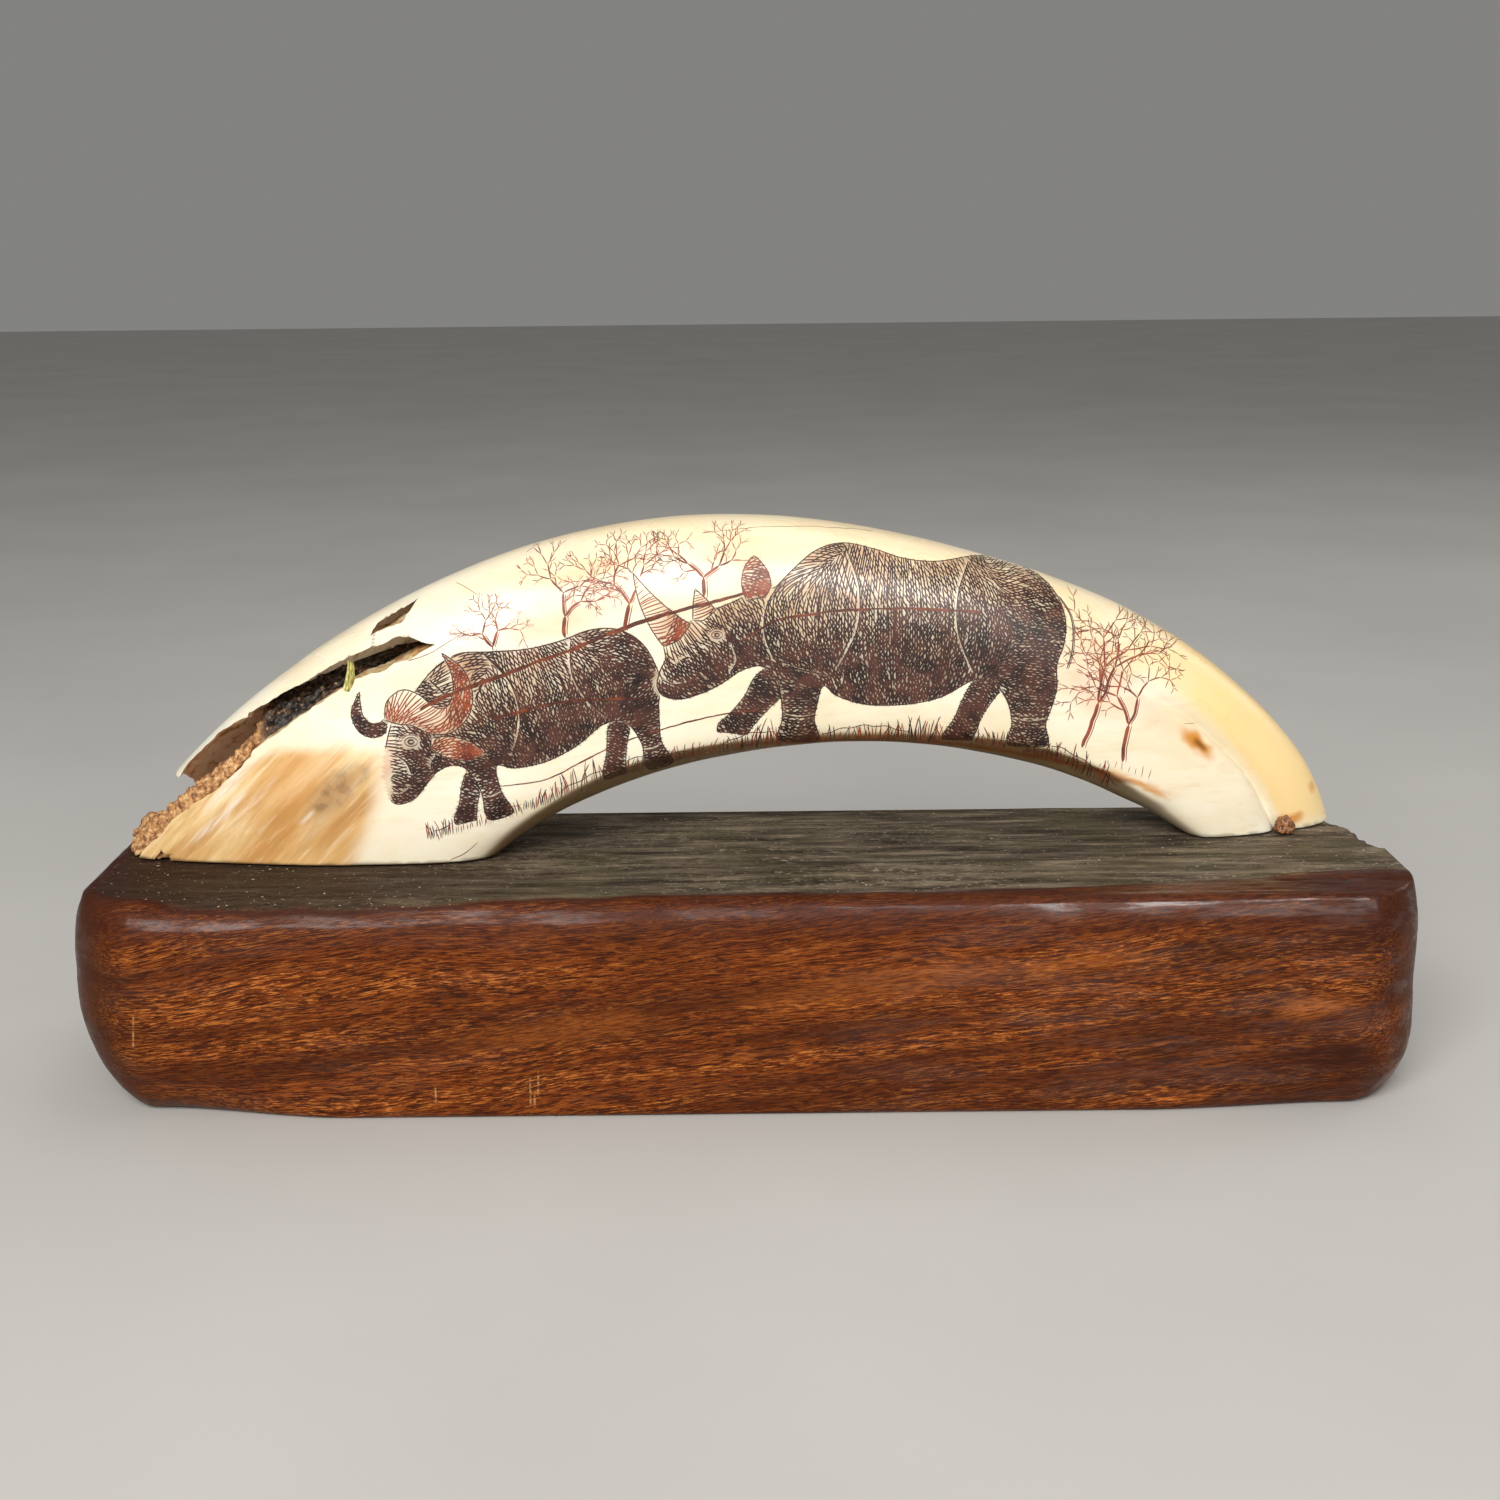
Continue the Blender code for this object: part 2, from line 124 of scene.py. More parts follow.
def smooth_curve(points):
    """A natural cubic spline through points, as a function of the share of its length, from 0 to 1."""
    points = np.array(points, float)
    knots = run_along(points)
    count = len(points)
    step = np.diff(knots)
    matrix = np.eye(count)
    right = np.zeros_like(points)
    for i in range(1, count - 1):
        matrix[i, i - 1:i + 2] = step[i - 1], 2 * (step[i - 1] + step[i]), step[i]
        right[i] = 6 * ((points[i + 1] - points[i]) / step[i] - (points[i] - points[i - 1]) / step[i - 1])
    bend = np.linalg.solve(matrix, right)

    def at_knot(t):
        i = int(np.clip(np.searchsorted(knots, t) - 1, 0, count - 2))
        a, b, h = knots[i + 1] - t, t - knots[i], step[i]
        return (bend[i] * a ** 3 + bend[i + 1] * b ** 3) / (6 * h) + (
            (points[i] / h - bend[i] * h / 6) * a + (points[i + 1] / h - bend[i + 1] * h / 6) * b)

    fine = np.linspace(0, knots[-1], 400)
    places = np.array([at_knot(t) for t in fine])
    run = run_along(places)
    return lambda share: at_knot(np.interp(share * run[-1], run, fine))


def even_steps(values):
    """A smooth function of a share from 0 to 1 through values at even steps."""
    curve = smooth_curve([(i / (len(values) - 1) * 1000, v) for i, v in enumerate(values)])
    samples = np.array([curve(s) for s in np.linspace(0, 1, 200)])
    return lambda share: float(np.interp(share * 1000, samples[:, 0], samples[:, 1]))


def bump(angle, centre, width):
    """A smooth rise from 0 to 1 at centre, for angles that go round."""
    away = (angle - centre + math.pi) % (2 * math.pi) - math.pi
    return np.exp(-(away / width) ** 2)


def crease(angle, centre, width):
    """1 at centre, falling away on both sides as where two round lobes meet."""
    away = (angle - centre + math.pi) % (2 * math.pi) - math.pi
    return np.exp(-np.sqrt(away * away + 0.0004) / width)


def ease(value, start, end):
    """0 before start and 1 after end, with a smooth rise between."""
    t = np.clip((value - start) / (end - start), 0.0, 1.0)
    return t * t * (3 - 2 * t)


crest = smooth_curve(CREST)
belly = smooth_curve(BELLY)
front_line = even_steps(FRONT_LINE)
half_depth = even_steps(HALF_DEPTH)
edge_rise = even_steps(EDGE_RISE)


def section_frame(share):
    """The section at a share of the length: centre, direction towards the crest, half height, half depth."""
    top, low = crest(share), belly(share)
    up = top - low
    length = np.linalg.norm(up)
    deep = half_depth(share)
    middle = (top + low) / 2
    centre = np.array([middle[0] + TUSK_SHIFT, front_line(share) + deep, middle[1] + FOOT_GAP])
    return centre, np.array([up[0], 0, up[1]]) / length, length / 2, deep


def edge_facet(share, angle, high, deep):
    """The narrow facet under the front's lower edge, as a share of the ellipse's radius."""
    toward = -math.cos(EDGE_TILT) * high * np.sin(angle) + math.sin(EDGE_TILT) * deep * np.cos(angle)
    reach = math.cos(EDGE_TILT) * (high - edge_rise(share)) + math.sin(EDGE_TILT) * EDGE_DEEP * deep
    return np.where(toward > 1e-6, reach / np.maximum(toward, 1e-6), 9.0)


def rounded(angle):
    """The section without facet or grooves, as a share of the ellipse's radius."""
    power = SOFT_POWER + (SQUARE_POWER - SOFT_POWER) * bump(angle, EDGE_ANGLE, EDGE_SPREAD)
    return (np.abs(np.sin(angle)) ** power + np.abs(np.cos(angle)) ** power) ** (-1 / power)


def section_radius(share, angle, high, deep):
    """How far the surface is from the section's centre. Angle 0 is the front, 90 degrees the crest."""
    crisp = EDGE_CRISP - EDGE_SOFTER * ease(share, *EDGE_SOFTENS)
    whole, facet = rounded(angle), edge_facet(share, angle, high, deep)
    radius = np.minimum(whole, facet) - np.log1p(np.exp(-crisp * np.abs(whole - facet))) / crisp
    size = np.hypot(high * np.sin(angle), deep * np.cos(angle))
    fold = GROOVE["angle"] + GROOVE_TURN * (1 - ease(share, GROOVE_FOOT, 1))
    dent = GROOVE["depth"] * ease(share, GROOVE["start"], 1)
    dent = dent * crease(angle, fold, FOLD_WIDTH * GROOVE["width"])
    dent = dent + BACK_GROOVE["depth"] * bump(angle, BACK_GROOVE["angle"], BACK_GROOVE["width"])
    worn = WORN["depth"] * (1 - ease(share, 0, WORN["reach"]))
    return radius - (dent + worn * bump(angle, WORN["angle"], WORN["width"])) / size


def outside_points(share, angle, frame_at=None):
    """Points of the tusk's outside at a share of its length and an array of angles."""
    centre, up, high, deep = frame_at or section_frame(share)
    radius = section_radius(share, angle, high, deep)
    points = centre + np.outer(radius * high * np.sin(angle), up)
    lean = TIP_LEAN * ease(share, LEAN_FROM, 1)
    points[:, 1] += lean * radius * np.sin(angle) - radius * deep * np.cos(angle)
    return points


def cavity_points(share, angle):
    """Points of the pulp cavity: one wall further in, and narrower towards its end."""
    centre, up, high, deep = section_frame(share)
    narrow = 1 - CAVITY_TAPER * ease(share, CAVITY_START, CAVITY_END)
    radius = section_radius(share, angle, high, deep)
    x = (centre + np.outer(radius * high * np.sin(angle), up))[:, 0]
    wall = RIM_WALL + (WALL - RIM_WALL) * ease(x, RIM_X, WALL_X)
    points = centre + np.outer((radius * high - wall) * narrow * np.sin(angle), up)
    points[:, 1] -= (radius * deep - wall) * narrow * np.cos(angle)
    return points


def ring_angles(share, frame_at):
    """Angles for one ring, with rows that keep to the two creases of the facet and even steps between."""
    high, deep = frame_at[2:]
    fine = np.radians(np.linspace(-89, -2, 700))
    cut = fine[edge_facet(share, fine, high, deep) < rounded(fine)]
    low = min([math.radians(FACET_NARROWEST[0]), *cut[:1]])
    top = max([math.radians(FACET_NARROWEST[1]), *cut[-1:]])
    angles = []
    for start, end, rows in ((low, top, FACET_ROWS), (top, math.pi / 2, FRONT_ROWS),
                             (math.pi / 2, low + 2 * math.pi, BACK_ROWS)):
        trial = np.linspace(start, end, 160)
        run = run_along(outside_points(share, trial, frame_at))
        angles.append(np.interp(np.arange(rows) / rows * run[-1], run, trial))
    return np.concatenate(angles)


# ---------------------------------------------------------------- meshes

def to_mesh(name, points, faces):
    """A mesh from points in millimetres with heights from the block's top."""
    mesh = bpy.data.meshes.new(name)
    mesh.from_pydata([(x * MM, y * MM, (z + DECK) * MM) for x, y, z in points], [], faces)
    mesh.update()
    return mesh


def lofted(name, points, rings):
    """A closed mesh through rings of points that come one after another, with a flat face at each end."""
    sides = len(points) // rings
    faces = [(first + i, first + (i + 1) % sides, first + sides + (i + 1) % sides, first + sides + i)
             for first in range(0, (rings - 1) * sides, sides) for i in range(sides)]
    faces += [tuple(reversed(range(sides))), tuple(range((rings - 1) * sides, rings * sides))]
    mesh = to_mesh(name, points, faces)
    data = bmesh.new()
    data.from_mesh(mesh)
    bmesh.ops.recalc_face_normals(data, faces=data.faces)
    data.to_mesh(mesh)
    data.free()
    return mesh


def add_piece(name, mesh, material=None):
    """An object of a mesh, in the scene."""
    piece = bpy.data.objects.new(name, mesh)
    bpy.context.scene.collection.objects.link(piece)
    if material:
        mesh.materials.append(material)
    return piece


def baked(piece):
    """Applies the piece's modifiers."""
    made = bpy.data.meshes.new_from_object(piece.evaluated_get(bpy.context.evaluated_depsgraph_get()))
    piece.modifiers.clear()
    old, piece.data = piece.data, made
    bpy.data.meshes.remove(old)


def cut(piece, cutter):
    """Takes a cutter away from the piece. The cutter is then removed."""
    step = piece.modifiers.new("cut", "BOOLEAN")
    step.operation = "DIFFERENCE"
    step.solver = "EXACT"
    step.object = cutter
    baked(piece)
    bpy.data.objects.remove(cutter)


def vertex_array(mesh):
    """The mesh's vertices in millimetres with heights from the block's top."""
    points = np.empty(len(mesh.vertices) * 3)
    mesh.vertices.foreach_get("co", points)
    points = points.reshape(-1, 3) / MM
    points[:, 2] -= DECK
    return points


def set_vertices(mesh, points):
    """Moves the mesh's vertices to points like those of vertex_array."""
    points = points.copy()
    points[:, 2] += DECK
    mesh.vertices.foreach_set("co", (points * MM).ravel())
    mesh.update()


def normal_array(mesh):
    """The directions that the mesh's vertices face."""
    normals = np.empty(len(mesh.vertices) * 3)
    mesh.vertices.foreach_get("normal", normals)
    return normals.reshape(-1, 3)


def set_attribute(mesh, name, values):
    """A number for each vertex, for the mesh's material to read."""
    mesh.attributes.new(name, "FLOAT", "POINT").data.foreach_set("value", np.asarray(values, np.float32))


def rough(points, size, seed=0.0):
    """Smooth noise between about -1 and 1 for each point. size is a length, or one along each axis."""
    scaled = points / size + seed
    return np.array([noise.noise(Vector(p)) for p in scaled]) * 1.6


def waves(points, layers):
    """Noise of several sizes added up. Each layer is (amount, size, seed)."""
    return sum(amount * rough(points, size, seed) for amount, size, seed in layers)


def search_tree(mesh):
    """The mesh's faces, to find the nearest or the first one hit."""
    return BVHTree.FromPolygons([v.co for v in mesh.vertices], [p.vertices[:] for p in mesh.polygons])


def smooth(piece, angle):
    """Smooth shading, apart from edges sharper than an angle in degrees."""
    piece.data.shade_smooth()
    piece.data.set_sharp_from_angle(angle=math.radians(angle))


# ---------------------------------------------------------------- tusk

def subdivided(outline, step):
    """A closed outline with points at most about a step apart."""
    points = np.array(outline, float)
    out = []
    for a, b in zip(points, np.roll(points, -1, axis=0)):
        count = max(1, int(np.linalg.norm(b - a) / step))
        out += [a + (b - a) * i / count for i in range(count)]
    return np.array(out)


def fractured(points, seed):
    """Moves points sideways by smooth noise, so that a cut along them looks broken."""
    moved = points.copy()
    for axis in (0, 2):
        for amount, size, further in FRACTURE:
            moved[:, axis] += amount * rough(points, size, seed + further + axis)
    return moved


def rough_plate(name, outline, near, far, seed, layers=30, slant=(0.0, 0.0), given_at=0.0):
    """A closed cutter: an outline in (x, height), drawn out along Y, whose sides are jagged like a fracture.

    It is as given at one distance, and moves by the slant, sideways and up, on the way back.
    """
    flat = subdivided([(x + TUSK_SHIFT, z + FOOT_GAP) for x, z in outline], FRACTURE_STEP)
    rings = []
    for y in np.linspace(near, far, layers):
        x, z = flat[:, 0] + slant[0] * (y - given_at), flat[:, 1] + slant[1] * (y - given_at)
        rings.append(np.column_stack([x, np.full(len(flat), y), z]))
    return add_piece(name, lofted(name, fractured(np.concatenate(rings), seed), layers))


def patch_mask(points):
    """1 on the rough, unpolished patch of horn-coloured ivory on the root's front, 0 elsewhere."""
    x, z = points[:, 0], points[:, 2]
    wobble = rough(points, 5.0, 3.0)
    top = 20.4 - 0.012 * (x + 66) ** 2 + 0.7 * wobble
    right = -59.0 - 0.42 * np.maximum(0, 12 - z) + 1.0 * wobble
    return (1 - ease(z, top - 1.6, top + 1.2)) * (1 - ease(x, right - 2.6, right + 1.6)) * (points[:, 1] < 6)


def tusk_relief(points):
    """How far the surface stands out from the plain form, by its waves, the patch's fibres and the flake."""
    x, z = points[:, 0], points[:, 2]
    relief = waves(points, POLISH_WAVES)
    patch = patch_mask(points)
    along, across = (x + z) / math.sqrt(2), (z - x) / math.sqrt(2)
    fibres = np.column_stack([along / 9, points[:, 1] / 2.2, across / 0.8])
    coarse = np.column_stack([along / 16, points[:, 1] / 5, across / 2.4])
    relief += patch * (-PATCH_DEPTH + 0.035 * rough(fibres, 1.0, 4.0) + 0.10 * rough(coarse, 1.0, 9.0))
    # between the slit and the crack the flake has sunk a little
    along = x - FLAKE_X
    sunk = (along > 0) & (along < FLAKE_LONG) & (z > 34.2 + 0.36 * along) & (z < 37.5 + 0.49 * along)
    return relief - FLAKE_DEPTH * (sunk & (points[:, 1] < 6))


def make_tusk_form(rings):
    """The tusk before it is hollowed and broken."""
    points = []
    for i in range(rings):
        share = i / (rings - 1)
        frame_at = section_frame(share)
        points.append(outside_points(share, ring_angles(share, frame_at), frame_at))
    points = np.array(points)
    along = np.gradient(points, axis=0)
    round_ = np.roll(points, -1, axis=1) - np.roll(points, 1, axis=1)
    out = np.cross(round_, along)
    out /= np.linalg.norm(out, axis=2)[..., None]
    flat = points.reshape(-1, 3)
    ends = np.repeat(np.minimum(np.arange(rings), np.arange(rings)[::-1]), points.shape[1])
    out = out.reshape(-1, 3)
    out[ends == 0, 2] = 0
    flat = flat + out * tusk_relief(flat)[:, None]
    return lofted("tusk_form", flat, rings)


def cavity_cutter():
    """The pulp cavity as a closed cutter that reaches below the root's foot."""
    angles = np.linspace(0, 2 * math.pi, CAVITY_SIDES, endpoint=False)
    points = [cavity_points(i / (CAVITY_RINGS - 1) * CAVITY_END, angles) for i in range(CAVITY_RINGS)]
    points.insert(0, points[0] - (0, 0, 5))
    points = np.array(points)
    out = points - points.mean(axis=1, keepdims=True)
    out /= np.linalg.norm(out, axis=2)[..., None] + 1e-9
    flat = points.reshape(-1, 3)
    amount, size, seed = CAVITY_ROUGHNESS
    flat = flat + out.reshape(-1, 3) * (amount * rough(flat, size, seed))[:, None]
    return add_piece("cavity", lofted("cavity", flat, CAVITY_RINGS + 1))


def make_tusk(material):
    """The tusk, hollowed and broken, and its whole form before that."""
    form = make_tusk_form(TUSK_RINGS)
    low = [p for p in FRONT_BREAK if p[0] < BREAK_OPENS]
    high = [p for p in reversed(CREST_BREAK) if p[0] < BREAK_OPENS]
    end = [(CLEAR_X, CLEAR), (-101.5, CLEAR), *low, (BREAK_OPENS, 18.4), (BREAK_OPENS, 25.6), *high,
           (-95.6, 18.6), (CLEAR_X, 21)]
    low = [(BREAK_OPENS - 1, 17.4), *[p for p in FRONT_BREAK if p[0] > BREAK_OPENS]]
    high = [*[p for p in reversed(CREST_BREAK[:-1]) if p[0] > BREAK_OPENS], (BREAK_OPENS - 1, 24.0)]
    rim = [(CLEAR_X, CLEAR), *REAR_RIM, (-97, 18), (CLEAR_X, 21)]
    tusk = add_piece("tusk_ivory", form.copy())
    # The root's end goes first, so that its thin wall is no longer there when the cavity is cut
    for cutter in (rough_plate("end", end, CLEAR, MIDDLE, 11.0, 30, BREAK_SLANT, BREAK_AT),
                   rough_plate("rim", rim, MIDDLE - 0.3, CLEAR_BACK, 17.0, 36, RIM_SLANT, MIDDLE),
                   cavity_cutter(),
                   rough_plate("crack", low + high, CLEAR, MIDDLE, 23.0),
                   rough_plate("slit", SLIT, CLEAR, MIDDLE, 31.0),
                   rough_plate("notch", NOTCH, CLEAR, NOTCH_END, 37.0)):
        cut(tusk, cutter)
    tusk.data.materials.clear()
    tusk.data.materials.append(material)
    smooth(tusk, 38)
    return tusk, form


# ---------------------------------------------------------------- block

HALF_X, HALF_Y = (BLOCK_HIGH.x - BLOCK_LOW.x) / 2, (BLOCK_HIGH.y - BLOCK_LOW.y) / 2
TALL = BLOCK_HIGH.z - BLOCK_LOW.z
FRONT_CORNER, BACK_LEFT_CORNER, BACK_RIGHT_CORNER = 13.0, 14.5, 17.0
TOP_FRONT_LEFT, TOP_FRONT_RIGHT, TOP_BACK = (6.0, 8.0), (2.5, 4.5), (1.0, 2.0)
TOP_LEFT_END, TOP_RIGHT_END = (3.6, 11.0), (2.2, 16.0)
FOOT_SIDE, FOOT_LEFT_END, FOOT_RIGHT_END = (1.6, 2.2), (11.0, 19.0), (6.0, 11.0)
FOOT_REACH, FOOT_FADE = 28.0, 0.6
# Front edge of the worn top, from left to right, as (x, y)
WORN_EDGE = [(-108, -12), (-101, -18.5), (-90, -21.6), (-80, -22.6), (-60, -22.4), (-37, -21.6), (-7, -20.4),
             (25, -20.3), (48, -19.8), (81, -15.6), (95, -11.6), (103, -11.8), (108, -12.5)]
# Edge of the chipped corner, seen from above
CHIP_EDGE = [(108.6, -7), (107.1, -2), (104.8, 1.9), (103.5, 6), (104, 10.1), (101.9, 13.6), (99.4, 17),
             (96.2, 20.2), (90, 25.5)]
# Relief, as (amount, size along each axis, seed)
SIDE_WAVES = ((0.22, (26.0, 14.0, 11.0), 51.0), (0.06, (7.0, 5.0, 3.0), 53.0))
SIDE_INSET = 0.26
DECK_GRAIN, DECK_WAVE = (0.07, (22.0, 1.1, 1.1), 61.0), (0.10, (30.0, 12.0, 12.0), 69.0)
DECK_SUNK, DECK_DEEPEST = 0.10, 0.55
# Splits and pits in the deck, as (depth, size along each axis, seed, how much of the noise is left out)
DECK_HOLES = ((0.9, (14.0, 0.7, 0.7), 63.0, 0.62), (0.7, (2.6, 0.9, 0.9), 67.0, 0.75))
CHIP_EDGE_WAVE = (0.5, (2.2, 1.1, 1.1), 71.0)
CHIP_STEEP, CHIP_DEEP, CHIP_ROUGH = 1.5, 5.0, (0.3, (3.0, 0.8, 0.8), 73.0)
SPINE_END = 26  # distance from each end at which the deck's rings close
# Dark knots and light streaks on the polished front, as (x, height, half length, half width, turn, strength)
WOOD_SPOTS = {
    "knots": [(-46.4, -15.5, 6.0, 1.7, 5, 0.7), (-19.2, -5.8, 3.4, 1.6, 8, 0.8),
              (3.6, -24.8, 4.2, 1.4, 8, 0.7), (14.3, -22.9, 5.5, 1.6, 8, 0.7),
              (-97.8, -13.2, 5.0, 3.0, 0, 0.5), (72.0, -8.5, 9.0, 2.6, 4, 0.6),
              (68.1, -25.0, 12.0, 2.6, 4, 0.6), (92.0, -26.5, 8.0, 2.4, 0, 0.7),
              (-70.0, -27.5, 12.0, 2.2, 5, 0.5)],
    "lighter": [(88.6, -18.7, 7.0, 2.2, 4, 0.8), (20.0, -14.0, 26.0, 3.4, 8, 0.55),
                (-30.0, -21.0, 20.0, 2.6, 7, 0.5), (52.0, -10.5, 14.0, 2.4, 7, 0.5)],
}
# Short pale scratches on the front, as (x at the foot, lean, low, high), with heights from the floor
SCRATCHES = [(-34.6, 0.02, 2.6, 7.0), (-33.5, 0.05, 4.0, 8.0), (-34.0, 0.04, 2.2, 4.4),
             (-49.6, 0.02, 3.2, 5.6), (-98.0, 0.10, 13.0, 18.0)]
CORNER_ROWS, FRONT_STEPS, END_STEPS = 30, 170, 14
FOOT_ROWS, SIDE_ROWS, EDGE_ROWS, DECK_ROWS = 14, 34, 16, 44


def block_outline():
    """The widest outline from above and its outward directions, two arrays."""
    points, outs = [], []
    corners = [(-1, -1, FRONT_CORNER), (1, -1, FRONT_CORNER), (1, 1, BACK_RIGHT_CORNER),
               (-1, 1, BACK_LEFT_CORNER)]
    for turn, (side_x, side_y, radius) in enumerate(corners):
        centre = np.array([side_x * (HALF_X - radius), side_y * (HALF_Y - radius)])
        for i in range(CORNER_ROWS + 1):
            angle = math.pi + turn * math.pi / 2 + i / CORNER_ROWS * math.pi / 2
            out = np.array([math.cos(angle), math.sin(angle)])
            points.append(centre + out * radius)
            outs.append(out)
        after = corners[(turn + 1) % 4]
        steps = FRONT_STEPS if turn in (0, 2) else END_STEPS
        out = outs[-1]
        start = points[-1]
        end = np.array([after[0] * (HALF_X - after[2]), after[1] * (HALF_Y - after[2])]) + out * after[2]
        for i in range(1, steps):
            points.append(start + (end - start) * i / steps)
            outs.append(out)
    return np.array(points), np.array(outs)


def mixed(a, b, share):
    """Between a and b by a share."""
    return np.array(a) + (np.array(b) - np.array(a)) * share


def edge_rounds(point, out):
    """(inset, height) of the foot's rounding and of the top's, at a point of the outline that faces out."""
    near_end = FOOT_FADE * ease(abs(point[0]), HALF_X - BACK_RIGHT_CORNER - FOOT_REACH, HALF_X - FRONT_CORNER)
    end = near_end + (1 - near_end) * ease(abs(out[0]), 0.0, 1.0)
    end_foot = FOOT_LEFT_END if point[0] < 0 else FOOT_RIGHT_END
    front_top = mixed(TOP_FRONT_LEFT, TOP_FRONT_RIGHT, ease(point[0], -HALF_X, HALF_X))
    side_top = mixed(front_top, TOP_BACK, ease(out[1], -0.6, 0.6))
    end_top = TOP_LEFT_END if point[0] < 0 else TOP_RIGHT_END
    return mixed(FOOT_SIDE, end_foot, end), mixed(side_top, end_top, ease(abs(out[0]), 0.2, 1.0))


def distance_outside(points, edge):
    """Signed distance of (x, y) points from a polyline; positive on its left, going along it."""
    edge = np.array(edge, float)
    best = np.full(len(points), 1e9)
    sign = np.zeros(len(points))
    for a, b in zip(edge[:-1], edge[1:]):
        along = b - a
        share = np.clip(((points - a) @ along) / (along @ along), 0, 1)
        away = points - (a + share[:, None] * along)
        distance = np.linalg.norm(away, axis=1)
        side = np.sign(along[0] * away[:, 1] - along[1] * away[:, 0])
        nearer = distance < best
        best[nearer], sign[nearer] = distance[nearer], side[nearer]
    return best * sign


def worn_mask(points):
    """1 on the weathered top and 0 on the polished sides."""
    x, y, z = points.T
    edge_x, edge_y = np.array(WORN_EDGE).T
    inside = y - np.interp(x, edge_x, edge_y) + 0.5 * rough(points, (9.0, 3.0, 3.0), 41.0)
    left = x + 104.5 + 0.6 * rough(points, 4.0, 43.0)
    back = 24.4 - y
    depth = np.minimum(np.minimum(inside, left * 0.5), back)
    return ease(depth, -0.7, 0.9) * ease(z, -5.0, -0.6)


def make_block(material):
    """The block, ring by ring from the foot up and over the top, with its relief, its chip and its masks."""
    outline, outs = block_outline()
    rounds = [edge_rounds(p, o) for p, o in zip(outline, outs)]
    foot = np.array([r[0] for r in rounds])
    top = np.array([r[1] for r in rounds])
    rings = []
    for i in range(FOOT_ROWS + 1):
        lean = i / FOOT_ROWS * math.pi / 2
        inset, up = foot[:, 0] * (1 - math.sin(lean)), foot[:, 1] * (1 - math.cos(lean))
        rings.append(np.column_stack([outline - outs * inset[:, None], up - TALL]))
    for i in range(1, SIDE_ROWS):
        share = i / SIDE_ROWS
        rings.append(np.column_stack([outline, (foot[:, 1] - TALL) * (1 - share) - top[:, 1] * share]))
    for i in range(EDGE_ROWS + 1):
        lean = i / EDGE_ROWS * math.pi / 2
        inset, down = top[:, 0] * (1 - math.cos(lean)), top[:, 1] * (1 - math.sin(lean))
        rings.append(np.column_stack([outline - outs * inset[:, None], -down]))
    rim = rings[-1][:, :2]
    spine = np.column_stack([np.clip(rim[:, 0], SPINE_END - HALF_X, HALF_X - SPINE_END), np.zeros(len(rim))])
    for i in range(1, DECK_ROWS):
        share = (i / DECK_ROWS) ** 1.15
        rings.append(np.column_stack([rim + (spine - rim) * share, np.zeros(len(rim))]))
    flat = np.array(rings).reshape(-1, 3)
    normal = np.zeros_like(flat)
    normal[:, :2] = np.tile(outs, (len(rings), 1))

    standing = ease(flat[:, 2], -TALL, -TALL + 2.5) * (1 - ease(flat[:, 2], -2.0, 0.0))
    flat = flat + normal * ((waves(flat, SIDE_WAVES) - SIDE_INSET) * standing)[:, None]

    deck = np.repeat(np.arange(len(rings)), len(outline)) >= FOOT_ROWS + SIDE_ROWS + EDGE_ROWS - 3
    sunk = DECK_SUNK + waves(flat, [DECK_GRAIN])
    for depth, size, seed, less in DECK_HOLES:
        sunk = sunk + depth * np.maximum(0, rough(flat, size, seed) - less)
    sunk = np.clip(sunk + waves(flat, [DECK_WAVE]), 0.01, DECK_DEEPEST)
    chip = np.maximum(0, distance_outside(flat[:, :2], CHIP_EDGE[::-1]) + waves(flat, [CHIP_EDGE_WAVE]))
    fall = np.minimum(chip * CHIP_STEEP, CHIP_DEEP) * (1 + waves(flat, [CHIP_ROUGH]))
    fall = fall * ease(flat[:, 2], -9.0, -1.0)
    flat[:, 2] -= np.where(deck, sunk, 0) + np.where(chip > 0, fall, 0)
    mesh = lofted("block_wood", flat, len(rings))
    block = add_piece("block_wood", mesh, material)
    points = vertex_array(mesh)
    set_attribute(mesh, "worn", worn_mask(points))
    set_attribute(mesh, "chipped", ease(chip, 0.05, 0.6) * ease(points[:, 2], -6, -1.5))
    front = ease(-normal_array(mesh)[:, 1], 0.2, 0.7)
    for name, places in WOOD_SPOTS.items():
        moved = points + 0.8 * rough(points, (6.0, 3.0, 1.6), 79.0)[:, None]
        set_attribute(mesh, name, front * spots(moved, places))
    smooth(block, 50)
    return block


# ---------------------------------------------------------------- filling, glue and stem

# Each is a solid of the frame, divided evenly and moved in and out by lumps of (amount, size, seed)
FILLER = dict(voxel=0.36, lumps=((0.34, 1.7, 81.0), (0.26, 0.75, 83.0), (0.12, 0.36, 85.0)), swell=0.12,
              low=0.1)
GLUE = dict(voxel=0.14, lumps=((0.22, 0.9, 91.0), (0.12, 0.35, 93.0)), swell=-0.05, low=0.05)
BURNT_FROM, BURNT_TO = -71.5, -66.0


def crumbled(name, node, material, voxel, lumps, swell, low):
    """A granular piece in place of a solid, and its points."""
    piece = add_piece(name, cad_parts[node].data.copy())
    piece.data.materials.clear()
    piece.data.materials.append(material)
    step = piece.modifiers.new("even", "REMESH")
    step.mode = "VOXEL"
    step.voxel_size = voxel * MM
    baked(piece)
    points = vertex_array(piece.data)
    points = points + normal_array(piece.data) * (waves(points, lumps) + swell)[:, None]
    points[:, 2] = np.maximum(points[:, 2], low)
    set_vertices(piece.data, points)
    smooth(piece, 60)
    return piece, points


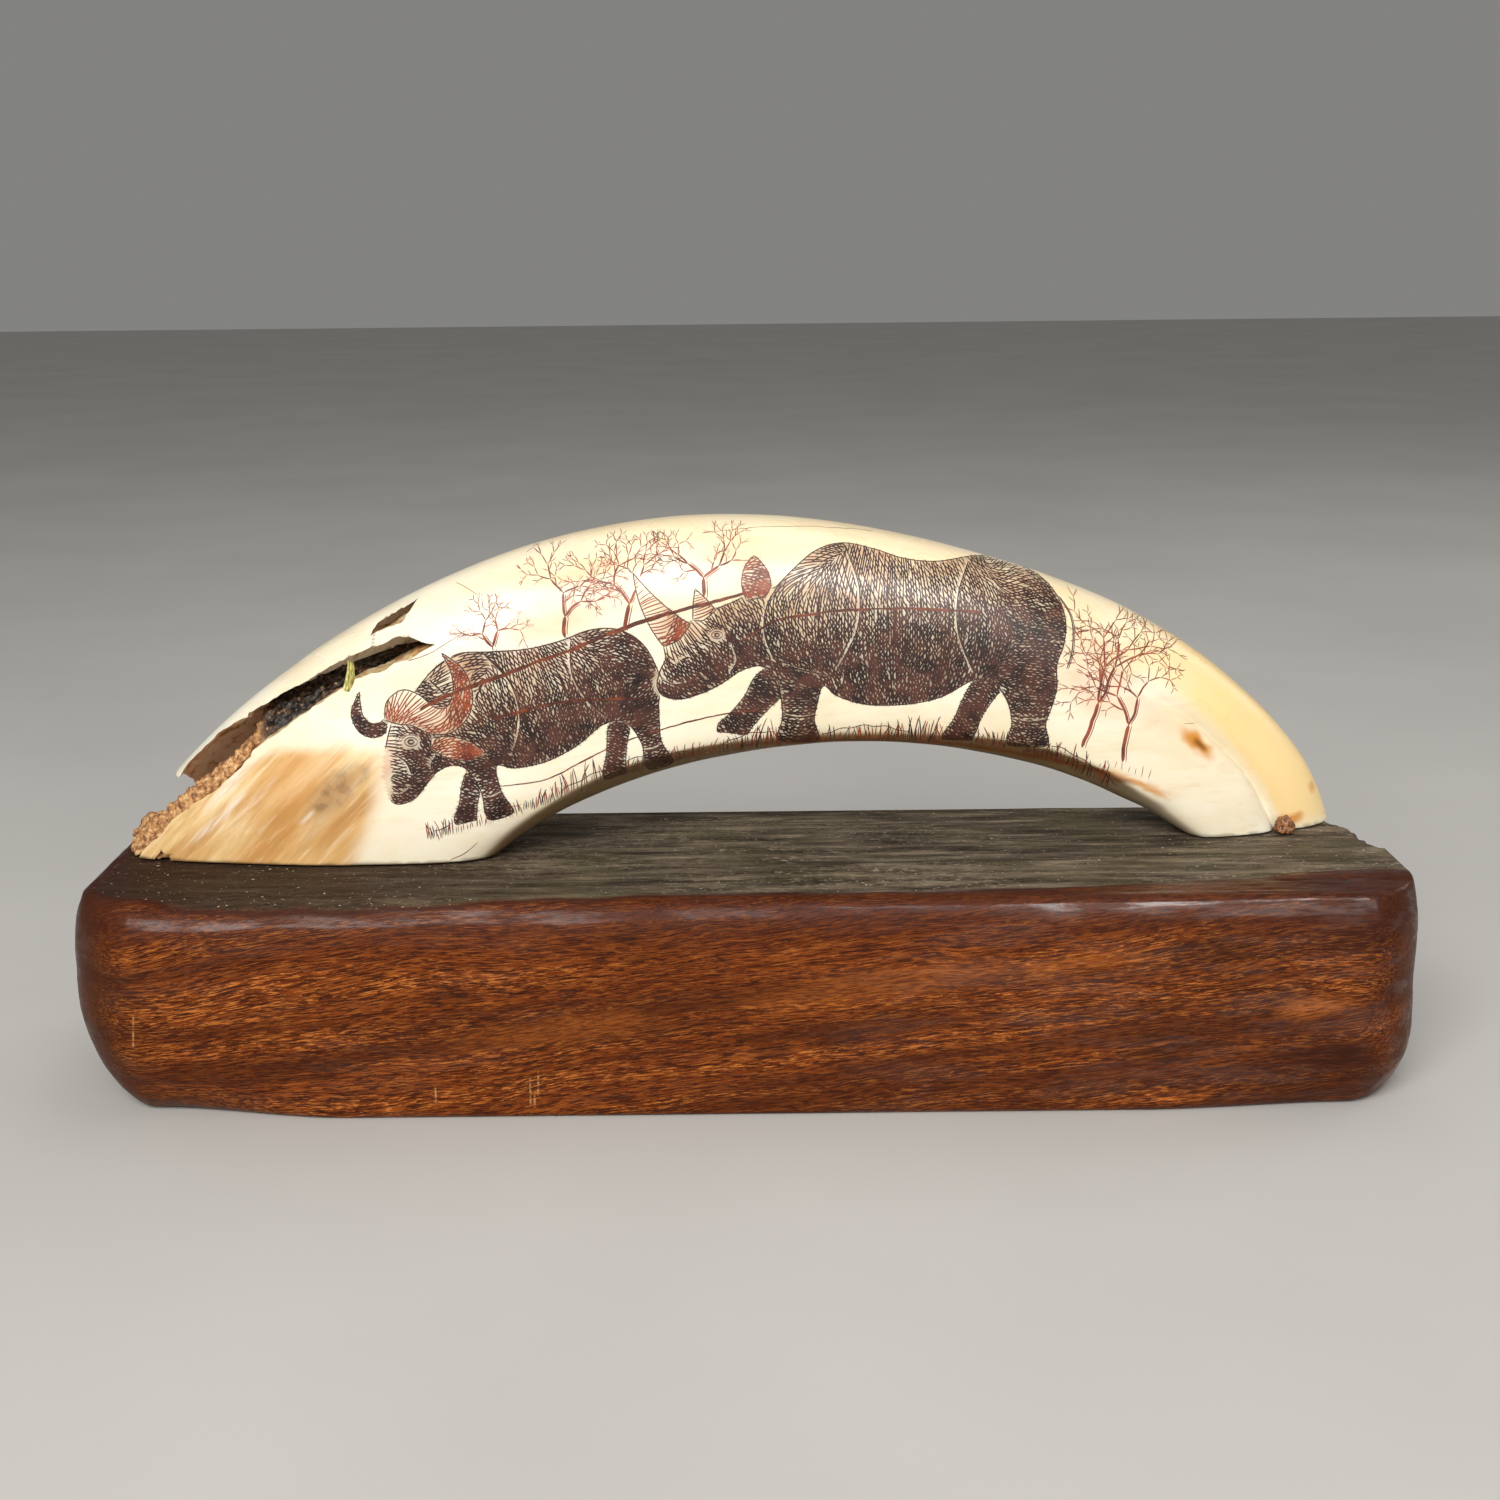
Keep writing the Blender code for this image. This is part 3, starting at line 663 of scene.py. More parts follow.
def make_filler(material):
    """The crumbly filling of the root, burnt black inside."""
    piece, points = crumbled("root_filler", "root_filling", material, **FILLER)
    place = points[:, 0] + 0.5 * points[:, 2] + 1.2 * rough(points, 2.0, 87.0)
    set_attribute(piece.data, "burnt", ease(place, BURNT_FROM, BURNT_TO))
    return piece


STEM_ENDS = (-64.2, -3.0, 29.2), (-63.3, -2.4, 33.9)
STEM_ACROSS = (1.0, 0.25, -0.52)
STEM_WIDTH, STEM_BOW, STEM_ROUGHNESS = 0.68, 0.35, 0.06
STEM_RINGS = 15
# Its folded section, as (across, forward)
STEM_SECTION = ((-1, 0.05), (-0.55, 0.30), (-0.1, 0.10), (0.4, 0.42), (1, 0.12), (0.4, -0.12), (-0.1, -0.3),
                (-0.6, -0.1))


def make_stem(material):
    """A dry yellow-green sliver of stem caught across the crack, folded along its middle."""
    start, end = np.array(STEM_ENDS)
    along = end - start
    across = np.array(STEM_ACROSS)
    across /= np.linalg.norm(across)
    front = np.cross(along, across)
    front /= np.linalg.norm(front)
    if front[1] > 0:
        front = -front
    rings = []
    for share in np.arange(STEM_RINGS) / (STEM_RINGS - 1):
        wide = STEM_WIDTH * (0.72 + 0.34 * math.sin(share * 2.6 + 0.4))
        middle = start + along * share + across * (STEM_BOW * math.sin(share * 3.1))
        rings += [middle + across * side * wide + front * depth for side, depth in STEM_SECTION]
    points = np.array(rings)
    points += np.outer(STEM_ROUGHNESS * rough(points, 0.8, 97.0), front)
    piece = add_piece("dry_stem", lofted("dry_stem", points, STEM_RINGS), material)
    smooth(piece, 30)
    return piece


# ---------------------------------------------------------------- materials

def colour(red, green, blue):
    """An sRGB colour, 0 to 255, as linear RGBA."""
    def linear(value):
        value /= 255
        return value / 12.92 if value <= 0.04045 else ((value + 0.055) / 1.055) ** 2.4
    return linear(red), linear(green), linear(blue), 1.0


class Shader:
    """A material under construction, with short ways to add its nodes.

    A colour is three numbers from 0 to 255 or the output of a node.
    """

    def __init__(self, name):
        self.material = bpy.data.materials.new(name)
        self.material.use_nodes = True
        self.tree = self.material.node_tree
        self.surface = self.tree.nodes["Principled BSDF"]
        self.place = self.tree.nodes.new("ShaderNodeTexCoord").outputs["Object"]

    def put(self, value, socket):
        """Links a node's output to a socket, or sets the socket to a value."""
        if hasattr(value, "links"):
            self.tree.links.new(value, socket)
        elif socket.type == "RGBA" and len(value) == 3:
            socket.default_value = colour(*value)
        else:
            socket.default_value = value

    def made(self, kind, inputs, output=0, **settings):
        """A new node's output."""
        node = self.tree.nodes.new("ShaderNode" + kind)
        for key, value in settings.items():
            setattr(node, key, value)
        for key, value in inputs.items():
            self.put(value, node.inputs[key])
        return node.outputs[output]

    def vector(self, operation, a, b, output=0):
        return self.made("VectorMath", {0: a, 1: b}, output, operation=operation)

    def scaled(self, factors, source=None):
        """The place in millimetres, or another vector, times a factor for each axis."""
        if source is None:
            source, factors = self.place, [factor / MM for factor in factors]
        return self.vector("MULTIPLY", source, factors)

    def distance(self, axis):
        """The place along one axis, in millimetres."""
        way = [float(i == axis) for i in range(3)]
        return self.vector("DOT_PRODUCT", self.scaled(way), way, "Value")

    def turned(self, source, degrees):
        """A vector turned about the axis from front to back."""
        return self.made("VectorRotate", {"Vector": source, "Angle": math.radians(degrees)},
                         rotation_type="Y_AXIS")

    def noise(self, factors, detail, roughness=0.55, distortion=0.0, source=None, output="Fac"):
        """Noise with so many waves to the millimetre along each axis."""
        return self.made("TexNoise", {"Vector": self.scaled(factors, source), "Scale": 1.0, "Detail": detail,
                                      "Roughness": roughness, "Distortion": distortion}, output)

    def ramp(self, value, start, end, low=0.0, high=1.0):
        """A smooth step of value between start and end, as low to high."""
        return self.made("MapRange", {"Value": value, "From Min": start, "From Max": end, "To Min": low,
                                      "To Max": high}, "Result", interpolation_type="SMOOTHSTEP")

    def math(self, operation, a, b=0.0):
        return self.made("Math", {0: a, 1: b}, operation=operation)

    def times(self, a, b):
        return self.math("MULTIPLY", a, b)

    def away(self, value, centre):
        """How far a value is from a centre."""
        return self.math("ABSOLUTE", self.math("SUBTRACT", value, centre))

    def mix(self, factor, a, b, mode="MIX"):
        return self.made("Mix", {0: factor, 6: a, 7: b}, 2, data_type="RGBA", blend_type=mode)

    def layers(self, tint, *rows):
        """Colours laid over a colour one after another, each through its mask."""
        for mask, over, *mode in rows:
            tint = self.mix(mask, tint, over, *mode)
        return tint

    def colours(self, value, *stops):
        """A colour for each value, from stops of (value, red, green, blue)."""
        tint = self.made("ValToRGB", {0: value})
        band = tint.node.color_ramp
        while len(band.elements) < len(stops):
            band.elements.new(0.5)
        for element, (place, *shade) in zip(band.elements, stops):
            element.position = place
            element.color = colour(*shade)
        return tint

    def attribute(self, name):
        return self.made("Attribute", {}, "Fac", attribute_name=name)

    def raised(self, height, distance, strength):
        """Fine relief, by a height from 0 to 1."""
        self.put(self.made("Bump", {"Strength": strength, "Distance": distance * MM, "Height": height}),
                 self.surface.inputs["Normal"])

    def finish(self, tint, roughness, **plain):
        """Connects the colour and the roughness, sets the rest, and gives the material."""
        self.put(tint, self.surface.inputs["Base Color"])
        self.put(roughness, self.surface.inputs["Roughness"])
        for key, value in plain.items():
            self.surface.inputs[key.replace("_", " ")].default_value = value
        return self.material


GRAIN_TILT, FIBRE_TILT = 6.5, 45


def wood_material():
    """Dark red-brown hardwood, polished at the sides and weathered on top, with painted shade along the top
    edge and painted glints on the top.
    """
    s = Shader("polished_hardwood")
    worn, chipped = s.attribute("worn"), s.attribute("chipped")
    drift = s.noise((0.018, 0.03, 0.03), 2.0, output="Color")
    grain = s.turned(s.vector("ADD", s.scaled((1, 1, 1)), s.scaled((0, 5, 9), drift)), GRAIN_TILT)
    broad = s.noise((0.014, 0.11, 0.17), 3.0, 0.55, source=grain)
    bands = s.noise((0.010, 0.20, 0.26), 3.0, 0.55, 0.4, grain)
    streak = s.noise((0.06, 0.8, 1.1), 6.0, 0.66, 0.3, grain)
    fibre = s.noise((0.42, 4.0, 4.8), 4.0, 0.66, source=grain)
    fleck = s.noise((0.34, 3.6, 4.4), 3.0, 0.62, source=grain)
    shade = s.noise((0.035, 0.07, 0.07), 2.0, 0.5)
    along, across, high = (s.distance(axis) for axis in range(3))

    base = s.layers(
        s.colours(streak, (0.36, 88, 37, 9), (0.47, 106, 47, 12), (0.56, 122, 58, 16), (0.67, 142, 74, 24)),
        # light fibres, dark pores and broad dark bands
        (s.times(s.ramp(fibre, 0.50, 0.59), s.ramp(bands, 0.45, 0.56, 0.35, 1.0)), (190, 112, 48)),
        (s.ramp(fleck, 0.49, 0.57, 0.0, 0.92), (54, 22, 8)),
        (s.ramp(broad, 0.48, 0.62, 0.0, 0.55), (58, 24, 8)),
        # darker towards both ends, and painted shade under the top edge
        (s.times(s.ramp(along, 62.0, 100.0, 0.0, 0.62), s.ramp(shade, 0.40, 0.56)), (46, 20, 10)),
        (s.ramp(along, -93.0, -104.0, 0.0, 0.80), (66, 32, 12)),
        (s.ramp(along, 100.0, 106.0, 0.0, 0.55), (80, 40, 16)),
        (s.ramp(high, DECK - 10.0, DECK - 2.0, 0.0, 0.62), (60, 26, 15)),
        (s.times(s.attribute("lighter"), s.ramp(fibre, 0.40, 0.56, 0.2, 0.8)), (176, 98, 38)),
        (s.times(s.attribute("knots"), s.ramp(streak, 0.62, 0.42, 0.5, 1.0)), (44, 20, 9)))
    in_front = s.ramp(across, -20.0, -15.0, 1.0, 0.0)
    for x, lean, low, upper in SCRATCHES:
        away = s.away(along, s.math("ADD", s.times(high, lean), x))
        mark = s.times(s.ramp(away, 0.04, 0.24, 1.0, 0.0), s.ramp(streak, 0.42, 0.54, 0.12, 0.72))
        for end, way in ((low, 1), (upper, -1)):
            mark = s.times(mark, s.ramp(high, end - 0.5 * way, end + 0.5 * way))
        base = s.mix(s.times(mark, in_front), base, (204, 150, 98))

    grey = s.noise((0.05, 0.45, 0.45), 4.0, 0.65)
    lines = s.noise((0.16, 2.6, 2.6), 4.0, 0.68)
    zone = s.noise((0.028, 0.09, 0.09), 3.0, 0.6)
    scuff = s.noise((0.6, 1.8, 1.8), 5.0, 0.78)
    olive = s.noise((0.06, 0.10, 0.10), 2.0, 0.5)
    painted_glints = s.noise((1.3, 2.2, 2.2), 2.0, 0.5)
    split = s.noise((0.045, 0.75, 0.75), 4.0, 0.6, source=grain)
    top = s.layers(
        s.colours(grey, (0.36, 55, 46, 37), (0.47, 86, 75, 62), (0.57, 113, 100, 84), (0.70, 152, 137, 114)),
        # dark lines, pale scuffs and an olive cast
        (s.ramp(lines, 0.51, 0.64, 0.0, 0.54), (36, 29, 22)),
        (s.times(s.times(s.ramp(scuff, 0.51, 0.66), s.ramp(zone, 0.47, 0.58, 0.20, 1.0)), 0.85),
         (166, 150, 122)),
        (s.ramp(olive, 0.50, 0.66, 0.0, 0.35), (82, 76, 48)),
        # browner towards the left end
        (s.ramp(along, -20.0, -66.0, 0.0, 0.80), (48, 32, 19)),
        (s.ramp(along, -78.0, -102.0, 0.0, 0.60), (54, 28, 16)),
        # pale specks that are painted glints, and splits along the grain
        (s.ramp(painted_glints, 0.68, 0.73, 0.0, 0.8), (206, 194, 172)),
        (s.ramp(s.away(split, 0.43), 0.0, 0.010, 0.9, 0.0), (16, 11, 7)))

    tint = s.layers(
        s.mix(worn, base, top),
        # painted shade: a dark red-brown band where the worn top meets the polished sides
        (s.ramp(s.away(worn, 0.35), 0.04, 0.45, 0.75, 0.0), (58, 24, 14)),
        (s.times(chipped, 0.7), (48, 40, 31)))
    shine = s.math("ADD", s.ramp(fibre, 0.40, 0.62, 0.30, 0.50), s.times(worn, 0.26))
    s.raised(s.mix(worn, s.mix(0.5, fibre, fleck), s.mix(0.5, lines, scuff)), 0.30, 0.5)
    # the polish has rubbed thin in places, and most of all in the middle of the front
    rubbed = s.noise((0.05, 0.3, 0.3), 5.0, 0.7)
    gloss = s.times(s.ramp(worn, 0.1, 0.8, 0.30, 0.05), s.ramp(rubbed, 0.46, 0.62, 0.12, 1.0))
    polish = s.math("ADD", s.ramp(along, -50.0, 0.0, 1.0, 0.45), s.ramp(along, 5.0, 35.0, 0.0, 1.45))
    s.put(s.times(gloss, polish), s.surface.inputs["Coat Weight"])
    return s.finish(tint, shine, Coat_Roughness=0.12, Specular_IOR_Level=0.07)


def ivory_material():
    """Cream tusk enamel and dentine, with its rough root patch, its stains, the washes of the drawing and
    painted shade under it and on its crest.
    """
    s = Shader("scrimshaw_ivory")
    flow = s.noise((0.02, 0.05, 0.05), 2.0, 0.5, output="Color")
    along = s.vector("ADD", s.scaled((1, 1, 1)), s.scaled((6, 4, 6), flow))
    cloud = s.noise((0.035, 0.08, 0.08), 4.0, 0.55, source=along)
    lines = s.noise((0.06, 1.0, 1.0), 3.0, 0.6, source=along)
    stained = s.noise((0.5, 0.5, 0.5), 4.0, 0.6)
    inside, patch = s.attribute("inside"), s.attribute("patch")
    tint = s.layers(
        s.colours(cloud, (0.34, 240, 222, 186), (0.50, 246, 233, 205), (0.64, 250, 241, 220)),
        (s.ramp(lines, 0.54, 0.68, 0.0, 0.20), (228, 203, 158)),
        # yellowing, which on the crest is partly painted shade
        (s.attribute("yellow"), (252, 216, 146)),
        (inside, s.colours(stained, (0.36, 160, 116, 66), (0.47, 212, 176, 122), (0.60, 242, 226, 190))),
        (s.attribute("hollow"),
         s.colours(stained, (0.36, 196, 160, 116), (0.44, 236, 212, 176), (0.60, 246, 230, 202))))

    fibre = s.turned(s.scaled((1, 1, 1)), FIBRE_TILT)
    horn = s.noise((0.045, 0.22, 0.22), 3.0, 0.55, source=fibre)
    fine = s.noise((0.07, 0.9, 1.1), 4.0, 0.6, source=fibre)
    rough_tint = s.layers(
        s.colours(horn, (0.36, 198, 150, 90), (0.47, 216, 172, 112), (0.56, 226, 188, 130),
                  (0.66, 238, 210, 162)),
        (s.ramp(fine, 0.53, 0.68, 0.0, 0.45), (248, 230, 194)),
        (s.ramp(fine, 0.46, 0.34, 0.0, 0.30), (176, 124, 70)),
        (s.attribute("amber"), (206, 146, 74)),
        (s.attribute("umber"), s.colours(stained, (0.38, 146, 110, 72), (0.52, 180, 140, 94))),
        (s.times(s.attribute("chalk"), s.ramp(fine, 0.40, 0.56, 0.35, 1.0)), (246, 236, 222)))

    tint = s.layers(
        s.mix(patch, tint, rough_tint),
        (s.attribute("blush"), (240, 172, 128), "MULTIPLY"),
        (s.attribute("sepia"), (116, 84, 72), "MULTIPLY"),
        (s.attribute("ochre"), (216, 146, 58)),
        # painted shade on the faces that look down
        (s.attribute("underside"), (132, 112, 84), "MULTIPLY"),
        (s.attribute("umber_stain"), (122, 70, 28)),
        # darker at the very foot, where it stands on the block
        (s.attribute("dark_foot"), (84, 62, 40)))
    rough_share = s.math("MAXIMUM", s.times(patch, 0.6), inside)
    shine = s.mix(rough_share, s.ramp(cloud, 0.3, 0.7, 0.24, 0.34), s.ramp(fine, 0.3, 0.7, 0.40, 0.62))
    s.raised(s.mix(rough_share, s.mix(0.5, cloud, lines), fine), 0.08, 0.5)
    return s.finish(tint, shine, Subsurface_Weight=0.22, Subsurface_Scale=2.0 * MM, Coat_Weight=0.12,
                    Coat_Roughness=0.12, Specular_IOR_Level=0.36)


def filling_material():
    """Granular filling: reddish-brown crumbs at the open end, burnt black inside."""
    s = Shader("burnt_filling")
    burnt = s.attribute("burnt")
    crumb = s.noise((1.1, 1.1, 1.1), 5.0, 0.7)
    brown = s.colours(crumb, (0.36, 92, 56, 30), (0.46, 160, 110, 64), (0.56, 202, 152, 98),
                      (0.66, 232, 198, 150))
    black = s.colours(crumb, (0.42, 14, 11, 10), (0.54, 36, 28, 23), (0.60, 104, 70, 42),
                      (0.68, 176, 150, 116))
    shine = s.mix(burnt, s.ramp(crumb, 0.3, 0.7, 0.75, 0.9), s.ramp(crumb, 0.4, 0.6, 0.25, 0.6))
    s.raised(crumb, 0.35, 0.8)
    return s.finish(s.mix(burnt, brown, black), shine)


def glue_material():
    """Brown, crusty glue."""
    s = Shader("brown_glue")
    crumb = s.noise((1.8, 1.8, 1.8), 4.0, 0.65)
    tint = s.colours(crumb, (0.32, 70, 38, 22), (0.48, 122, 74, 42), (0.62, 176, 122, 74),
                     (0.76, 220, 186, 150))
    s.raised(crumb, 0.2, 0.6)
    return s.finish(tint, s.ramp(crumb, 0.3, 0.7, 0.3, 0.6))


def stem_material():
    """Dry yellow-green stem."""
    s = Shader("dry_stem")
    fibre = s.noise((2.4, 2.4, 0.7), 3.0, 0.6)
    tint = s.colours(fibre, (0.38, 122, 110, 50), (0.50, 176, 166, 88), (0.62, 220, 214, 150))
    return s.finish(tint, s.ramp(fibre, 0.3, 0.7, 0.45, 0.65))


def ink_material(name, dark, light, roughness):
    """Ink, lighter where the stroke's own tone is low."""
    s = Shader(name)
    grain = s.noise((0.35, 0.35, 0.35), 3.0, 0.6)
    tint = s.layers(dark, (s.ramp(grain, 0.35, 0.65), light),
                    (s.ramp(s.attribute("tone"), 0.2, 1.0, 0.35, 0.0), light))
    return s.finish(tint, roughness, Specular_IOR_Level=0.35)


def floor_material():
    """Plain pale grey."""
    s = Shader("pale_floor")
    soft = s.noise((0.01, 0.01, 0.01), 3.0, 0.5)
    return s.finish(s.colours(soft, (0.3, 190, 188, 184), (0.7, 198, 196, 192)), 0.75)


# ---------------------------------------------------------------- colours that lie on the tusk

# Spots of colour on the ivory, as (x, height, half length, half width, turn in degrees, strength)
SPOTS = {
    "umber": [(-66.8, 12.6, 7.6, 3.3, 44, 0.85), (-62.6, 15.2, 3.8, 1.7, 52, 0.6),
              (-69.5, 6.8, 5.5, 1.1, 47, 0.3)],
    "amber": [(-74.0, 13.0, 13.0, 5.0, 45, 0.50), (-76.0, 5.0, 12.0, 4.0, 20, 0.40),
              (-65.0, 4.0, 6.0, 3.0, 50, 0.35)],
    "chalk": [(-83.2, 14.4, 9.5, 1.0, 43, 0.85), (-86.0, 8.4, 8.0, 0.8, 43, 0.7),
              (-79.6, 11.6, 6.0, 0.5, 45, 0.6), (-81.0, 17.2, 5.0, 0.5, 43, 0.7),
              (-71.5, 8.6, 2.2, 0.5, 38, 0.55), (-61.4, 2.8, 3.4, 0.7, 70, 0.6)],
    "ochre": [(75.7, 16.9, 4.4, 1.5, -42, 1.0), (97.9, 6.7, 1.3, 0.9, -60, 0.6),
              (93.6, 2.0, 2.6, 1.3, 10, 0.9), (66.5, 9.8, 6.0, 0.8, -26, 0.8)],
    "umber_stain": [(76.1, 16.5, 1.9, 0.75, -42, 0.8), (61.0, 11.9, 4.6, 0.75, -24, 0.8),
                    (92.6, 1.6, 1.2, 0.9, 0, 0.7)],
}
SPOT_WOBBLE = {"umber_stain": 0.25}  # how far a spot's edge wanders, where it isn't the usual
USUAL_WOBBLE = 0.35
# Where the front's lower edge has turned brown, and where the groove divides the two lobes, as x and heights
BROWN_LINE = (4, 12, 18, 35, 52, 61, 72), (19.3, 19.6, 19.3, 17.9, 14.4, 12.4, 8.0)
GROOVE_LINE = (60.8, 69.4, 74.2, 79.4, 84.2, 88.6, 92), (28.2, 26.1, 22.5, 17.9, 12.3, 6.6, 0)
# Warm washes in the drawing, as (u, v, half length, half width, turn, strength)
WASHES = [(-27, 44, 15, 6, 25, 0.34), (-4, 49, 9, 4, 8, 0.24), (58, 30, 11, 7, -38, 0.42),
          (66, 25, 8, 3, -30, 0.3), (-34, 6, 9, 2, 15, 0.2)]


def spot(points, x, height, long, wide, turn, strength):
    """A soft ellipse seen from the front."""
    c, s = math.cos(math.radians(turn)), math.sin(math.radians(turn))
    dx, dz = points[:, 0] - x, points[:, 2] - height
    away = np.hypot((dx * c + dz * s) / long, (dz * c - dx * s) / wide)
    return strength * (1 - ease(away, 0.35, 1.15))


def spots(points, places):
    """The strongest of several spots at each point."""
    return np.max([spot(points, *place) for place in places], axis=0)


def colour_tusk(mesh, form, sheet):
    """Gives the tusk's mesh the attributes that its material reads."""
    points, normals = vertex_array(mesh), normal_array(mesh)
    x, y, z = points.T
    front = ease(-normals[:, 1], -0.1, 0.3)
    whole = search_tree(form)
    depth = np.array([whole.find_nearest(v.co)[3] for v in mesh.vertices]) / MM
    inside = ease(depth, 0.12, 0.35)
    patch = patch_mask(points) * (1 - inside)
    wobble = rough(points, 2.0, 101.0)
    value = {"inside": inside,
             "hollow": ease(depth, 0.25, 0.5) * ease(y, 4, 9) * ease(-normals[:, 1], 0.2, 0.55),
             "patch": patch}
    for name, places in SPOTS.items():
        moved = points + SPOT_WOBBLE.get(name, USUAL_WOBBLE) * wobble[:, None]
        value[name] = spots(moved, places) * front
    # along the lower front edge the ivory has turned brown
    line = np.interp(x, *BROWN_LINE)
    low_front = normals[:, 1] < -0.2
    near = np.exp(-((z - line) / (0.5 + 0.3 * (wobble > 0))) ** 2)
    ochre = 0.75 * near * ease(x, 0, 14) * (1 - ease(x, 66, 74)) * low_front
    value["ochre"] = np.maximum(value["ochre"], ochre)
    brown_edge = np.exp(-((z - line + 0.15) / 0.34) ** 2) * ease(x, 2, 10) * (1 - ease(x, 52, 64)) * low_front
    value["umber_stain"] = np.maximum(value["umber_stain"], brown_edge * (0.8 + 0.15 * wobble))
    # painted shade: darker where the surface faces down, away from the light above
    value["underside"] = 0.95 * ease(-normals[:, 2], 0.42, 0.66) * (1 - inside) * (1 - ease(x, 60, 84))
    # the back lobe, the tip and the crest are yellower; on the crest it follows how far the surface faces up,
    # partly its own yellowing and partly painted shade that tones down the light from above
    value["yellow"] = np.max([ease(x, 52, 82) * ease(z - np.interp(x, *GROOVE_LINE), -1.0, 3.0) * 0.85,
                              0.5 * ease(x, 78, 92) * ease(y, 12, 18),
                              0.30 * ease(normals[:, 2], 0.40, 0.85) * ease(x, -70, -20)], axis=0)
    # darker in a thin band at the very foot, where it stands on the block
    value["dark_foot"] = 0.7 * (1 - ease(z, 0.2, 0.9 + 0.3 * wobble)) * (0.5 + 0.5 * (wobble > 0.1))
    # thin washes of colour under the drawing
    flat = on_sheet(points)
    cell = np.array([sheet.cell(p) for p in flat])
    drawn = (cell >= 0) * front * (1 - patch) * (1 - inside)
    tone = np.where(cell >= 0, sheet.tone[cell], 0) * np.where(cell >= 0, sheet.cover[cell] > 0, 0)
    blot = rough(points, 3.2, 103.0)
    value["sepia"] = np.clip(drawn * (tone - 0.18) * (0.80 + 0.30 * blot), 0, 0.80)
    glow = spots(np.column_stack([flat[:, 0], flat[:, 0] * 0, flat[:, 1]]), WASHES)
    body = np.clip(0.55 - np.abs(tone - 0.42) * 1.6, 0, 1) * (0.5 + 0.5 * blot)
    value["blush"] = np.clip(drawn * np.maximum(glow * (0.8 + 0.3 * blot), body), 0, 0.9)
    for name, values in value.items():
        set_attribute(mesh, name, values)


# ---------------------------------------------------------------- the drawing

def spline(points, closed=False, step=0.3):
    """Points along a smooth curve through points. A point with a third value is a corner."""
    places = [np.array(p[:2], float) for p in points]
    corner = [len(p) > 2 for p in points]
    count = len(places)
    out = []
    for i in range(count if closed else count - 1):
        b, c = places[i], places[(i + 1) % count]
        a = b if corner[i] or (i == 0 and not closed) else places[i - 1]
        d = c if corner[(i + 1) % count] or (i == count - 2 and not closed) else places[(i + 2) % count]
        steps = max(2, int(np.linalg.norm(c - b) / step))
        t = (np.arange(steps) / steps)[:, None]
        out.append(0.5 * (2 * b + (c - a) * t + (2 * a - 5 * b + 4 * c - d) * t * t
                          + (3 * b - a - 3 * c + d) * t ** 3))
    if not closed:
        out.append(places[-1][None])
    return np.concatenate(out)


def in_polygon(polygon, points):
    """Which of the points lie inside a closed polygon."""
    x, y = points[:, 0, None], points[:, 1, None]
    x0, y0 = polygon.T
    x1, y1 = np.roll(x0, -1), np.roll(y0, -1)
    rise = np.where(y1 == y0, 1e-9, y1 - y0)
    crossing = ((y0 > y) != (y1 > y)) & (x < (x1 - x0) * (y - y0) / rise + x0)
    return crossing.sum(1) % 2 == 1


CELL = 0.2  # of the grid that tone and direction are kept on
LEFT, RIGHT, LOW, HIGH = -68.0, 78.0, -2.0, 60.0


class Sheet:
    """Tone, direction and colour of the drawing on a grid, filled in from back to front."""

    def __init__(self):
        self.u = np.arange(LEFT, RIGHT, CELL)
        self.v = np.arange(LOW, HIGH, CELL)
        grid = np.meshgrid(self.u, self.v)
        self.points = np.column_stack([grid[0].ravel(), grid[1].ravel()])
        count = len(self.points)
        self.tone = np.zeros(count)
        self.angle = np.zeros(count)
        self.warm = np.zeros(count)
        self.owner = np.zeros(count, int)
        self.cover = np.zeros(count, int)
        self.parts = 0

    def lay(self, part, polygon):
        """Lays one shaded part over what is already there."""
        u0, v0 = polygon.min(0) - 0.3
        u1, v1 = polygon.max(0) + 0.3
        near = np.flatnonzero((self.points[:, 0] > u0) & (self.points[:, 0] < u1)
                              & (self.points[:, 1] > v0) & (self.points[:, 1] < v1))
        hit = near[in_polygon(polygon, self.points[near])]
        self.parts += 1
        self.owner[hit] = self.cover[hit] = self.parts
        tone, angle, warm = part.shade(self.points[hit])
        self.tone[hit], self.angle[hit], self.warm[hit] = tone, angle, warm

    def bare(self, path, reach):
        """Leaves the ivory bare along a path."""
        for a, b in zip(path[:-1], path[1:]):
            near = np.flatnonzero((np.abs(self.points - (a + b) / 2) < reach + 0.3).all(1))
            t = np.clip(((self.points[near] - a) @ (b - a)) / ((b - a) @ (b - a) + 1e-9), 0, 1)
            away = np.linalg.norm(self.points[near] - a - t[:, None] * (b - a), axis=1)
            self.owner[near[away < reach]] = 0

    def cell(self, p):
        """The number of the grid's cell at a place, or -1 outside the grid."""
        i = int((p[0] - LEFT) / CELL + 0.5)
        j = int((p[1] - LOW) / CELL + 0.5)
        if 0 <= i < len(self.u) and 0 <= j < len(self.v):
            return j * len(self.u) + i
        return -1


DRAWN_LIGHT = (-0.42, 0.66, 0.62)  # from the upper left


